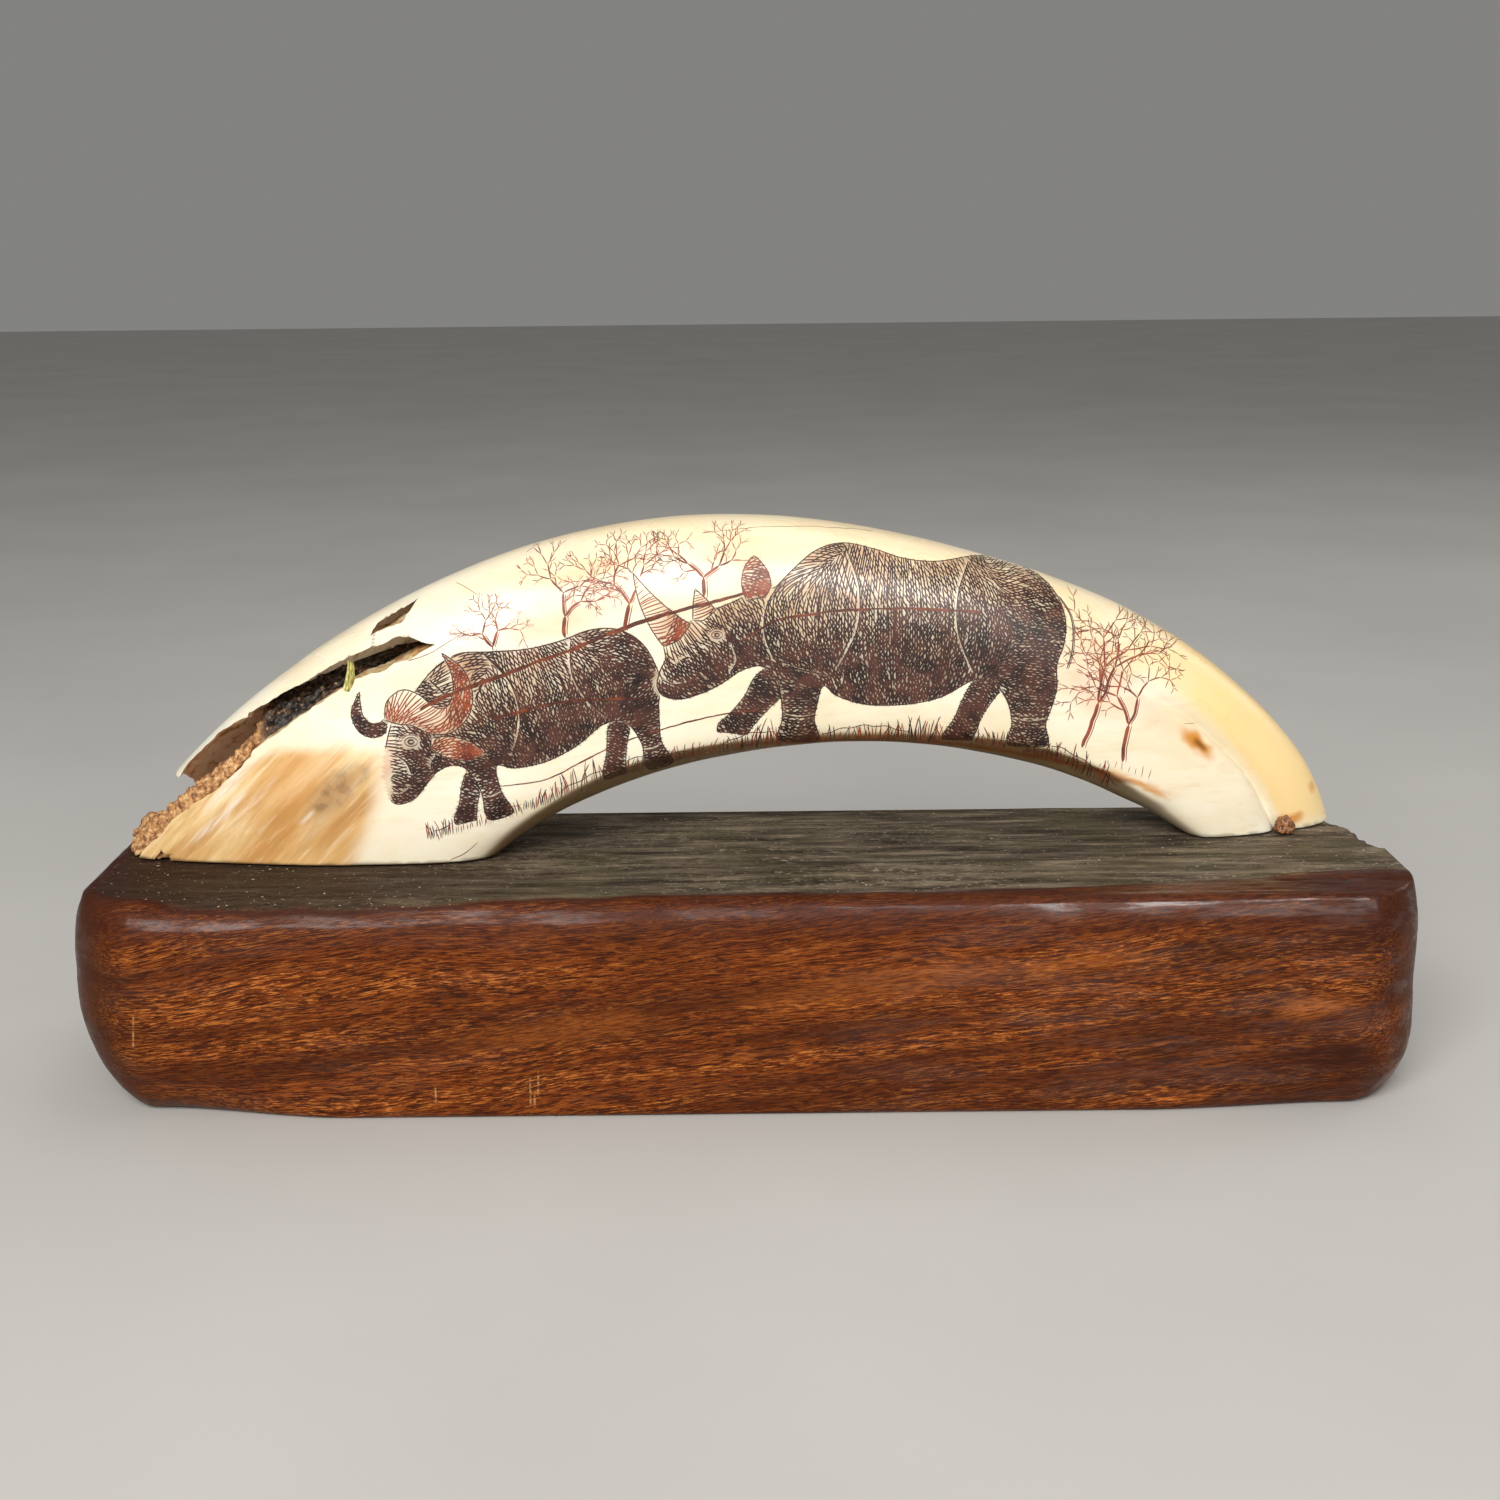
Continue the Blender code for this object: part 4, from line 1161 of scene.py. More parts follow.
class Form:
    """A part of an animal that is shaded as one or more rounded bodies."""

    def __init__(self, bodies, place, turn, scale=1.0, dark=0.0, warm=0.3):
        self.bodies, self.dark, self.warm = bodies, dark, warm
        self.place, self.scale = np.array(place, float), scale
        c, s = math.cos(math.radians(turn)), math.sin(math.radians(turn))
        self.turn = math.radians(turn)
        self.axes = np.array([[c, s], [-s, c]])

    def put(self, points):
        """Points of the part's own frame in the drawing."""
        return (np.asarray(points)[:, :2] * self.scale) @ self.axes + self.place

    def shade(self, points):
        """Tone, direction and warmth at points of the drawing."""
        own = ((points - self.place) @ self.axes.T) / self.scale
        total = np.zeros(len(own))
        tones = np.zeros(len(own))
        ways = np.zeros((len(own), 2))
        for x, y, long, wide, turn, dark in self.bodies:
            c, s = math.cos(math.radians(turn)), math.sin(math.radians(turn))
            dx, dy = own[:, 0] - x, own[:, 1] - y
            a, b = (dx * c + dy * s) / long, (dy * c - dx * s) / wide
            r2 = a * a + b * b
            height = np.where(r2 < 1, np.sqrt(np.maximum(0, 1 - r2)), 1 - r2)
            nz = np.sqrt(np.maximum(0.02, 1 - np.minimum(r2, 0.98)))
            # the normal leans more along the narrow axis
            nx, ny = a * c * wide / long - b * s, a * s * wide / long + b * c
            length = np.sqrt(nx * nx + ny * ny + nz * nz)
            lit = (nx * DRAWN_LIGHT[0] + ny * DRAWN_LIGHT[1] + nz * DRAWN_LIGHT[2]) / length
            # hatching goes across the body, bowed by its roundness
            curve = -0.9 * b * np.sign(a + 1e-9) * np.minimum(1, np.abs(a) * 1.5)
            double = np.arctan2(c + curve * s, -s + curve * c) * 2
            weight = np.exp(5.0 * height * wide / 6.0 + 6.0 * np.minimum(0, height))
            total += weight
            tones += weight * (0.86 - 0.70 * lit + dark)
            ways += weight[:, None] * np.column_stack([np.cos(double), np.sin(double)])
        tone = tones / total + self.dark
        angle = np.arctan2(ways[:, 1], ways[:, 0]) / 2 + self.turn
        return np.clip(tone, 0, 1), angle, np.full(len(own), self.warm)


# Layers of hatching, as (gap, turn in degrees, least tone, shortest and longest stroke)
HATCHES = [(0.46, 0, 0.08, (4.0, 12.0)), (0.50, 30, 0.42, (2.5, 6.5)), (0.50, -30, 0.60, (2.5, 6.0))]
HATCH_STEP = 0.25
HATCH_TRIES = 0.55  # of the cells that are dark enough


def hatch(sheet, rng, gap, turn, low, lengths):
    """Evenly spaced strokes that follow the direction field wherever the tone is above low."""
    strokes = []
    taken = {}

    def square(p):
        return int(p[0] // gap), int(p[1] // gap)

    def near(p, reach, own):
        i, j = square(p)
        for di in (-1, 0, 1):
            for dj in (-1, 0, 1):
                for x, y, who in taken.get((i + di, j + dj), ()):
                    if who != own and (x - p[0]) ** 2 + (y - p[1]) ** 2 < reach * reach:
                        return True
        return False

    tone, angle, owner = sheet.tone, sheet.angle, sheet.owner
    order = [k for k in range(len(tone)) if owner[k] and tone[k] > low]
    rng.shuffle(order)
    for number, k in enumerate(order[:int(len(order) * HATCH_TRIES)]):
        start = sheet.points[k] + (rng.uniform(-0.1, 0.1), rng.uniform(-0.1, 0.1))
        if near(start, gap * 0.82, number) or tone[k] < low + rng.uniform(0, 0.16):
            continue
        limit = rng.uniform(*lengths)
        lean = rng.uniform(-0.05, 0.05)
        path = [start]
        for way in (1, -1):
            p, run, here, previous = start, 0.0, [], None
            while run < limit / 2:
                c = sheet.cell(p)
                if c < 0 or owner[c] != owner[k] or tone[c] < low - 0.02:
                    break
                theta = angle[c] + turn + lean
                d = np.array([math.cos(theta), math.sin(theta)]) * way
                if previous is not None and d @ previous < 0:
                    d = -d
                previous = d
                p = p + d * HATCH_STEP
                if near(p, gap * 0.40, number):
                    break
                run += HATCH_STEP
                here.append(p)
            path = path + here if way == 1 else here[::-1] + path
        if len(path) < 4:
            continue
        for p in path:
            taken.setdefault(square(p), []).append((p[0], p[1], number))
        strokes.append((np.array(path), float(tone[k]), float(sheet.warm[k])))
    return strokes


# Outlines are closed, and a third value marks a corner.
# Bodies are (x, y, half length, half width, turn, darkness).
RHINO = [(-30.6, 12.6), (-30.9, 14.8), (-30.0, 16.2, 1), (-28.4, 17.6), (-26.6, 18.6), (-25.4, 19.6),
         (-23.2, 20.4, 1), (-20.8, 21.4), (-18.9, 22.4), (-16.4, 23.2), (-14.2, 24.0, 1), (-11.6, 26.9),
         (-8.2, 29.9), (-4.2, 31.2), (0.6, 30.4), (5.4, 29.0), (10.6, 28.8), (16.4, 30.0), (21.2, 30.2),
         (25.6, 28.4), (29.0, 24.8), (30.6, 20.4), (30.4, 16.4), (29.4, 13.0), (29.6, 9.6), (29.0, 6.4),
         (28.2, 3.6), (28.9, 0.9), (28.2, 0.0), (23.4, 0.0), (22.4, 0.9), (22.9, 3.6), (22.0, 7.0),
         (19.8, 9.8), (16.6, 10.4), (11.6, 7.6), (6.0, 6.3), (0.0, 6.2), (-4.4, 7.4), (-6.6, 9.0),
         (-7.4, 6.4), (-7.8, 3.4), (-6.9, 0.9), (-7.6, 0.0), (-12.4, 0.0), (-13.4, 0.9), (-12.7, 3.6),
         (-13.0, 7.0), (-13.9, 10.2), (-16.2, 11.8), (-19.2, 11.0), (-22.0, 9.0), (-25.0, 7.4), (-28.2, 6.4),
         (-30.8, 6.8), (-31.8, 8.4), (-31.4, 10.6)]
RHINO_BODIES = [(5, 18.5, 25, 12.4, 2, 0.0), (22.5, 19.5, 11, 9.0, 82, 0.02),
                (-8.5, 18.5, 12.5, 8.6, 78, -0.02), (-17, 18.0, 8.5, 6.6, 30, 0.06),
                (-24.5, 13.8, 10.0, 5.2, 38, -0.04), (-29.4, 9.4, 3.6, 3.0, 20, 0.0),
                (25.6, 6.0, 8.5, 3.3, 88, 0.02), (24.4, 13.5, 9.0, 6.6, 72, 0.0),
                (-10.2, 6.0, 8.5, 3.1, 90, 0.02), (3, 9.0, 13, 3.4, 2, 0.16)]
RHINO_FAR_HIND = [(19.8, 13.0, 1), (16.8, 10.6), (15.0, 7.4), (13.8, 4.2), (12.4, 1.9), (12.2, 0.8, 1),
                  (16.8, 0.7, 1), (17.4, 2.2), (18.2, 4.8), (20.2, 8.0), (22.0, 10.4, 1)]
RHINO_FAR_FORE = [(-12.6, 12.6, 1), (-16.6, 10.6), (-18.6, 7.0), (-20.6, 4.4), (-22.4, 2.6), (-22.6, 1.4, 1),
                  (-18.0, 1.0, 1), (-17.0, 2.6), (-15.0, 5.0), (-13.0, 7.2), (-11.6, 9.6, 1)]
RHINO_HORN = [(-30.9, 14.4, 1), (-33.0, 17.4), (-34.8, 21.4), (-35.8, 25.6, 1), (-33.6, 23.2), (-31.0, 20.8),
              (-28.4, 18.8), (-26.9, 18.0, 1), (-28.6, 15.6)]
RHINO_SMALL_HORN = [(-26.6, 18.6, 1), (-26.6, 20.8), (-26.4, 23.4, 1), (-24.6, 21.8), (-23.2, 20.2, 1),
                    (-25.0, 18.6)]
RHINO_EAR = [(-18.6, 21.8, 1), (-19.4, 24.2), (-19.0, 27.0), (-17.6, 28.8, 1), (-15.8, 26.8), (-15.0, 24.4),
             (-15.8, 22.4, 1)]
RHINO_FOLDS = [[(-13.0, 25.4), (-15.4, 21.4), (-15.8, 17.0), (-14.2, 12.8)], [(-3.4, 29.6), (-1.6, 24.0),
               (-1.8, 17.6), (-4.6, 11.4)], [(-12.6, 12.0), (-9.4, 11.2), (-5.8, 10.6)], [(15.4, 29.0),
               (13.6, 23.6), (13.8, 17.6), (16.4, 11.6)], [(-20.6, 15.0), (-19.8, 12.6), (-20.8, 10.6)],
               [(-12.9, 4.4), (-10.2, 3.9), (-7.6, 4.4)], [(22.6, 4.4), (25.6, 3.9), (28.6, 4.4)],
               [(-31.2, 9.4), (-29.4, 8.6), (-27.4, 8.9)], [(-28.4, 12.2), (-27.2, 12.9), (-26.4, 12.2)],
               [(-16.9, 27.0), (-17.4, 24.6), (-17.0, 22.8)], [(29.6, 24.0), (31.6, 20.4), (31.8, 15.6),
               (31.0, 12.4)]]
RHINO_EYE = (-22.9, 16.4)

BUFFALO = [(-19.6, 8.2), (-19.3, 10.4), (-18.0, 13.0), (-16.4, 15.6), (-15.0, 17.4), (-12.4, 18.6, 1),
           (-10.8, 19.9), (-8.0, 21.6), (-4.6, 22.4), (-0.6, 21.4), (4.0, 20.3), (8.4, 20.0), (12.6, 20.2),
           (16.0, 19.2), (18.4, 16.6), (19.2, 13.0), (18.9, 10.4), (18.0, 8.4), (17.4, 6.4), (16.7, 3.5),
           (17.2, 1.0), (16.8, 0.0), (14.0, 0.0), (13.6, 1.2), (14.2, 3.8), (13.2, 7.2), (10.4, 7.9),
           (6.0, 6.2), (1.6, 5.4), (-2.6, 5.8), (-4.8, 6.8), (-5.4, 3.5), (-4.9, 1.0), (-5.2, 0.0),
           (-8.0, 0.0), (-8.4, 1.2), (-7.9, 4.0), (-8.6, 7.4), (-10.2, 8.6), (-12.4, 8.4), (-14.4, 7.2),
           (-16.4, 5.9), (-18.6, 5.7), (-19.6, 6.6)]
BUFFALO_BODIES = [(4, 13.2, 15.5, 8.2, 0, 0.04), (-4.5, 14.2, 9.0, 6.4, 75, 0.02),
                  (13.4, 13.4, 8.0, 6.0, 82, 0.06), (-10.6, 14.0, 5.6, 5.6, 30, 0.12),
                  (-15.4, 11.4, 7.4, 3.6, 62, -0.04), (-17.6, 7.6, 2.4, 2.2, 30, 0.10),
                  (15.6, 5.0, 6.5, 2.2, 88, 0.10), (-6.7, 4.6, 6.0, 1.9, 90, 0.08),
                  (2, 7.4, 9.0, 2.6, 0, 0.20)]
BUFFALO_FAR_HIND = [(12.6, 9.6, 1), (10.6, 7.0), (9.4, 4.0), (8.0, 1.6), (8.0, 0.6, 1), (10.8, 0.6, 1),
                    (11.4, 2.2), (12.4, 4.6), (14.2, 7.6, 1)]
BUFFALO_FAR_FORE = [(-7.6, 8.6, 1), (-9.8, 6.0), (-11.2, 3.4), (-12.6, 1.6), (-12.6, 0.8, 1), (-9.8, 0.6, 1),
                    (-9.2, 2.2), (-7.8, 4.6), (-6.4, 7.0, 1)]
BUFFALO_HORN = [(-16.6, 17.0, 1), (-15.6, 19.2), (-13.2, 20.1), (-11.2, 18.8), (-9.9, 16.7), (-8.4, 16.2),
                (-7.0, 17.6), (-6.3, 20.2), (-6.7, 23.2, 1), (-4.7, 20.4), (-4.5, 17.0), (-6.0, 14.2),
                (-8.8, 12.8), (-11.4, 13.4), (-13.4, 15.2), (-15.2, 16.0)]
BUFFALO_FAR_HORN = [(-15.8, 17.8, 1), (-17.2, 16.9), (-18.6, 17.2), (-19.2, 18.8), (-18.7, 21.6, 1),
                    (-20.6, 19.2), (-20.4, 16.6), (-18.8, 15.2), (-17.0, 15.4, 1)]
BUFFALO_EAR = [(-11.6, 12.9, 1), (-9.4, 12.4), (-6.8, 10.8), (-5.6, 8.6, 1), (-8.2, 8.7), (-10.6, 9.8),
               (-12.2, 11.6, 1)]
BUFFALO_FOLDS = [[(-9.4, 20.4), (-7.8, 17.4)], [(-10.0, 10.2), (-9.2, 8.8)], [(-1.4, 21.2), (0.6, 16.6),
                 (0.2, 11.6), (-2.4, 7.4)], [(9.8, 19.6), (8.6, 15.4), (9.4, 11.4), (11.0, 8.6)],
                 [(-19.3, 7.4), (-17.9, 6.9), (-16.6, 7.4)], [(-18.6, 9.2), (-18.0, 9.7), (-17.3, 9.5)],
                 [(-11.6, 10.6), (-12.8, 9.6), (-13.0, 8.4)], [(-17.3, 12.6), (-15.9, 10.9), (-15.7, 9.0)],
                 [(-8.1, 3.2), (-6.6, 2.9), (-5.2, 3.2)], [(13.9, 3.0), (15.4, 2.7), (16.8, 3.0)],
                 [(-3.6, 19.4), (-5.4, 16.4), (-5.0, 13.4)]]
BUFFALO_EYE = (-14.3, 13.2)


# Trees, as (u, v, height of the trunk, spread, lean)
TREES = [(-39.5, 33.2, 3.4, 1.15, 1.9), (-28.0, 36.5, 5.0, 1.2, 2.0), (-19.0, 38.5, 4.9, 1.15, 1.45),
         (-6.5, 43.5, 4.0, 1.15, 1.2), (55.8, 18.6, 8.0, 1.1, 1.42), (62.8, 16.0, 6.4, 1.1, 1.50)]
TREE_DEPTH, TREE_TONE, TREE_WARM = 6, 0.9, 1.0
GROUND = [(-51, -36), (-30, -8), (-5, 8), (12, 28), (42, 63)]  # stretches of its line, from u to u
BIRDS = [(41.6, 49.2, 1.2), (45.0, 48.0, 0.9), (43.4, 50.9, 0.8)]  # u, v and half the width
WINGS = [(-1, 0.25), (-0.55, 0.55), (0, 0), (0.5, 0.6), (1, 0.35)]
# The tusk's lower front edge in the drawing
LOWER_EDGE = ((-50, -42, -36, -29, -18, -10, 3, 11, 24, 34, 43, 52, 60, 67),
              (4.2, 6.6, 8.6, 11.3, 14.8, 16.8, 19.1, 19.7, 19.8, 19.2, 18.3, 15.6, 11.6, 7.4))
# Place, turn and scale of each animal
RHINO_PLACE = (19.5, 19.9), -2.0, 1.06
BUFFALO_PLACE = (-32.0, 10.6), 17.0, 1.24
CURVE_STEP = 0.25


def tree(rng, u, v, height, spread, lean):
    """A bare spreading tree: crooked branches that fork and end in a fan of twigs."""
    strokes = []

    def grow(p, angle, length, wide, level):
        path = [p]
        bend = rng.uniform(-0.5, 0.5)
        steps = max(3, int(length / 0.5))
        for _ in range(steps):
            angle += bend / steps + rng.uniform(-0.16, 0.16)
            path.append(path[-1] + np.array([math.cos(angle), math.sin(angle)]) * length / steps)
        strokes.append((np.array(path), TREE_TONE, TREE_WARM, max(wide, 0.17)))
        if wide > 0.34:
            off = np.array([math.sin(angle), -math.cos(angle)]) * wide * 0.9
            strokes.append((np.array(path) + off, TREE_TONE, TREE_WARM, 0.14))
        if level >= TREE_DEPTH:
            return
        for side in (-1, 1):
            turn = side * rng.uniform(0.30, 0.60) * spread + rng.uniform(-0.1, 0.1)
            flat = max(0.15, min(math.pi - 0.15, angle + turn)) if level < 3 else angle + turn
            grow(path[-1], flat, length * rng.uniform(0.66, 0.86), wide * 0.70, level + 1)
        if level >= 1 and rng.random() < 0.6:
            grow(path[len(path) // 2], angle + rng.choice((-1, 1)) * rng.uniform(0.5, 0.9), length * 0.55,
                 wide * 0.6, level + 2)

    grow(np.array([u, v]), lean, height, 0.62, 0)
    return strokes


def draw_animal(sheet, place, near, bodies, far, horns, ears, folds, eye, dark, warm):
    """Lays an animal on the sheet. Gives its lines, which later parts may cover, and its eye's strokes."""
    lines, strokes = [], []

    def part(shape, form, wide=0.20):
        sheet.lay(form, form.put(spline(shape, True)))
        path = form.put(spline(shape, True, CURVE_STEP))
        lines.append((np.vstack([path, path[:1]]), 1.0, 0.1, wide, sheet.parts))

    for shape in far:
        flat = np.array([p[:2] for p in shape])
        middle, size = flat.mean(0), flat.std(0)
        part(shape, Form([(*middle, size[1] * 1.9, size[0] * 1.5, 62, 0.0)], *place, 0.42 + dark, warm), 0.16)
    body = Form(bodies, *place, dark, warm)
    part(near, body)
    folds_at = sheet.parts
    for fold in folds:
        path = body.put(spline(fold, False, CURVE_STEP))
        sheet.bare(path + (-0.24, 0.10), 0.17)
        for k in range(2):
            lines.append((path + (0.26 * k, -0.08 * k), 1.0 - 0.2 * k, 0.1, 0.22 - 0.08 * k, folds_at))
    for shape in ears:
        middle = np.array([p[:2] for p in shape]).mean(0)
        part(shape, Form([(*middle, 4, 2, 80, 0.0)], *place, dark, 0.6), 0.17)
    for shape in horns:
        middle = np.array([p[:2] for p in shape]).mean(0) + (-0.6, 0.6)
        part(shape, Form([(*middle, 6, 2.6, 110, -0.12)], *place, -0.10, 0.75), 0.18)

    scale = place[2]
    centre = body.put(np.array([eye]))[0]
    sheet.bare(np.array([centre - (0.5, 0), centre + (0.5, 0)]), 0.95 * scale)
    around = np.linspace(0, 2 * math.pi, 14)
    for radius, wide in ((0.75, 0.16), (0.36, 0.34)):
        ring = radius * scale * np.column_stack([np.cos(around) * 1.15, np.sin(around) * 0.8])
        strokes.append((centre + ring, 1.0, 0.0, wide))
    brow = np.linspace(0.15 * math.pi, 0.95 * math.pi, 9)
    for k in range(3):
        arc = (1.2 + 0.42 * k) * scale * np.column_stack([np.cos(brow), np.sin(brow) * 0.8])
        strokes.append((centre + arc, 0.9, 0.3, 0.11))
    return lines, strokes


def lower_edge(u):
    return np.interp(u, *LOWER_EDGE)


def draw_everything(rng):
    """The sheet and the strokes of the whole drawing, as (path, tone, warmth, width)."""
    sheet = Sheet()

    def hidden(path, own=0):
        """The parts of a path that aren't covered by what was drawn after its own part."""
        pieces, here = [], []
        for p in path:
            c = sheet.cell(p)
            if c >= 0 and sheet.cover[c] > own:
                if len(here) > 1:
                    pieces.append(np.array(here))
                here = []
            else:
                here.append(p)
        if len(here) > 1:
            pieces.append(np.array(here))
        return pieces

    lines, strokes = draw_animal(
        sheet, BUFFALO_PLACE, BUFFALO, BUFFALO_BODIES, [BUFFALO_FAR_HIND, BUFFALO_FAR_FORE, BUFFALO_FAR_HORN],
        [BUFFALO_HORN], [BUFFALO_EAR], BUFFALO_FOLDS, BUFFALO_EYE, 0.20, 0.30)
    # bare ivory around the animal in front
    front = Form([], *RHINO_PLACE)
    for shape in (RHINO, RHINO_HORN):
        sheet.bare(front.put(spline(shape, True, 0.5)), 0.75)
    front_lines, front_strokes = draw_animal(
        sheet, RHINO_PLACE, RHINO, RHINO_BODIES, [RHINO_FAR_HIND, RHINO_FAR_FORE],
        [RHINO_HORN, RHINO_SMALL_HORN], [RHINO_EAR], RHINO_FOLDS, RHINO_EYE, 0.24, 0.35)
    strokes += front_strokes

    hatching = []
    for gap, turn, low, lengths in HATCHES:
        hatching += hatch(sheet, rng, gap, math.radians(turn), low, lengths)
    for path, tone, warm in hatching:
        strokes.append((path, tone, warm, 0.14 + 0.16 * tone + rng.uniform(-0.03, 0.03)))
    for path, tone, warm, wide, level in lines + front_lines:
        strokes += [(part, tone, warm, wide) for part in hidden(path, level)]
    for place in TREES:
        for path, tone, warm, wide in tree(rng, *place):
            strokes += [(part, tone, warm, wide) for part in hidden(path)]

    # grass along the lower edge, in tufts of uneven height, below a thin line of the ground
    u = -52.0
    while u < 61.0:
        foot = lower_edge(u) + rng.uniform(0.1, 0.8)
        tall = rng.uniform(1.6, 3.1) + 2.0 * max(0.0, math.sin(u * 0.23 + 1.0)) * rng.random()
        tall *= 0.75 if u < -34 else 1.0
        lean = rng.uniform(-0.26, 0.26) + 0.10 * math.sin(u * 0.9)
        blade = np.array([(u + lean * tall * t * t, foot + tall * t) for t in np.linspace(0, 1, 6)])
        strokes += [(part, 0.8, rng.choice((0.2, 0.9, 0.9)), rng.uniform(0.13, 0.20))
                    for part in hidden(blade)]
        u += rng.uniform(0.16, 0.40) if math.sin(u * 0.31) > -0.6 else rng.uniform(0.3, 0.8)
    for start, end in GROUND:
        u = np.arange(start, end, 0.5)
        swell = 1.5 * np.sin(math.pi * (u - start) / (end - start))
        line = np.column_stack([u, lower_edge(u) + 1.6 + 0.15 * np.sin(u * 1.7) + swell])
        strokes += [(part, 0.8, 0.3, 0.15) for part in hidden(line)]
    # a few scattered strokes beside the grass, with no letters in them
    for k in range(7):
        u, v = 60.4 + 1.15 * k, 15.4 - 0.42 * k
        top = (u + rng.uniform(-0.2, 0.5), v + rng.uniform(1.0, 2.0))
        strokes.append((np.array([(u, v), top]), 0.7, 0.5, 0.13))
    for u, v, wide in BIRDS:
        strokes.append((np.array(WINGS) * wide + (u, v), 0.9, 0.4, 0.13))
    return sheet, strokes


# ---------------------------------------------------------------- ink on the ivory

SLOPE = math.tan(math.radians(12))  # the drawing is laid on from the front and a little above
SHEET_Y = -5.0
BREAK_DEPTH = 0.15  # deeper than this below the whole form the ivory is broken
FLAKE_BARE = (-59.6, -54.2, 30.5)  # nothing is drawn on the flake, from x to x above a height
FOOT_BARE = 0.3
IN_FRONT, BEHIND = 30, 60  # distances from which the strokes are laid on
STROKE_LIFT, STROKE_DEPTH, STROKE_STEP = 0.022, 0.06, 0.42
SHORTEST = 0.25


def on_sheet(points):
    """Where points of the tusk lie in the drawing."""
    return np.column_stack([points[:, 0], points[:, 2] + (points[:, 1] - SHEET_Y) * SLOPE])


class Surface:
    """The tusk's surface, to lay strokes on."""

    def __init__(self, tusk, form):
        self.whole, self.broken = search_tree(form), search_tree(tusk.data)

    def place(self, u, v, back=False):
        """Point and normal under a point of the drawing, or None where the ivory is missing or bare."""
        if back:
            start, way = Vector((u * MM, BEHIND * MM, (v + DECK) * MM)), Vector((0, -1, 0))
        else:
            start = Vector((u * MM, (SHEET_Y - IN_FRONT) * MM, (v + IN_FRONT * SLOPE + DECK) * MM))
            way = Vector((0, 1, -SLOPE)).normalized()
        hit, normal, _, distance = self.broken.ray_cast(start, way)
        if hit is None or abs(self.whole.ray_cast(start, way)[3] - distance) > BREAK_DEPTH * MM:
            return None
        if normal.dot(way) > -0.08:
            return None
        x, z = hit.x / MM, hit.z / MM - DECK
        if not back and (FLAKE_BARE[0] < x < FLAKE_BARE[1] and z > FLAKE_BARE[2] or z < FOOT_BARE):
            return None
        return np.array(hit) / MM - (0, 0, DECK), np.array(normal)


def resampled(path):
    """Evenly spaced points along a path, or none where it is too short to engrave."""
    run = run_along(path)
    if run[-1] < SHORTEST:
        return []
    count = max(2, int(run[-1] / STROKE_STEP) + 1)
    at = np.linspace(0, run[-1], count)
    return np.column_stack([np.interp(at, run, path[:, 0]), np.interp(at, run, path[:, 1])])


def lay_strokes(name, strokes, surface, material, skip=None, back=False):
    """Lays strokes on the ivory as fine tapered slivers, sunk into it like filled scratches."""
    points, faces, tones = [], [], []

    def sliver(run, wide, tone):
        """Adds a stroke with a three-sided section through places on the ivory."""
        if len(run) < 2:
            return
        first = len(points)
        last = len(run) - 1
        for i, (place, normal) in enumerate(run):
            along = run[min(i + 1, last)][0] - run[max(i - 1, 0)][0]
            side = np.cross(normal, along)
            side /= np.linalg.norm(side) + 1e-9
            taper = min(1.0, 0.28 + 0.55 * min(i, last - i))
            half = wide / 2 * taper
            points.append(place + side * half + normal * STROKE_LIFT)
            points.append(place - side * half + normal * STROKE_LIFT)
            points.append(place - normal * STROKE_DEPTH * taper)
            tones.extend((tone, tone, tone))
        for i in range(last):
            a = first + 3 * i
            faces.append((a, a + 3, a + 4, a + 1))
            faces.append((a + 1, a + 4, a + 5, a + 2))
            faces.append((a + 2, a + 5, a + 3, a))
        faces.append((first, first + 1, first + 2))
        a = first + 3 * last
        faces.append((a + 2, a + 1, a))

    for path, tone, _, wide in strokes:
        run = []
        for u, v in resampled(path):
            found = surface.place(u, v, back)
            if found is None or (skip is not None and skip(found[0])):
                sliver(run, wide, tone)
                run = []
            else:
                run.append(found)
        sliver(run, wide, tone)
    mesh = to_mesh(name, points, faces)
    set_attribute(mesh, "tone", tones)
    return add_piece(name, mesh, material)


def patch_edge(place):
    """Whether a point is on the rough patch, where nothing is drawn."""
    x, _, z = place
    return x < -57.5 - 0.4 * max(0, 12 - z) and z < 20.6 - 0.012 * (x + 66) ** 2


# The ivory's own cracks, stained by age, as places in the drawing and a width
CRACKS = [
    ([(-52.1, 26.4), (-45.6, 29.3), (-38.1, 32.0), (-28.1, 35.6), (-22.0, 38.2), (-15.9, 40.4), (-6.3, 43.0),
      (1.5, 45.1)], 0.62),
    ([(-40.3, 24.7), (-32.2, 26.9), (-25.8, 27.8), (-20.0, 28.0), (-16.0, 27.6)], 0.46),
    ([(0.0, 37.2), (5.4, 40.4), (11.0, 41.6), (17.8, 42.4), (28.0, 42.3), (38.5, 41.6)], 0.42),
    ([(-39.9, 13.4), (-32.6, 14.4), (-26.0, 17.6), (-20.4, 20.2), (-13.2, 22.7), (-4.0, 24.8), (2.3, 25.8)],
     0.24),
    ([(-48.7, 0.8), (-46.2, 2.0), (-43.9, 3.9)], 0.14),
    ([(-6.3, 54.9), (4.0, 55.9), (14.0, 55.8), (21.5, 55.4)], 0.12),
    ([(-46.6, 47.4), (-44.6, 46.4), (-42.5, 45.1)], 0.13),
    ([(-56.0, 33.9), (-50.4, 35.6), (-45.0, 38.8)], 0.14),
    ([(73.2, 22.4), (74.4, 22.2), (75.4, 22.4)], 0.12),
]
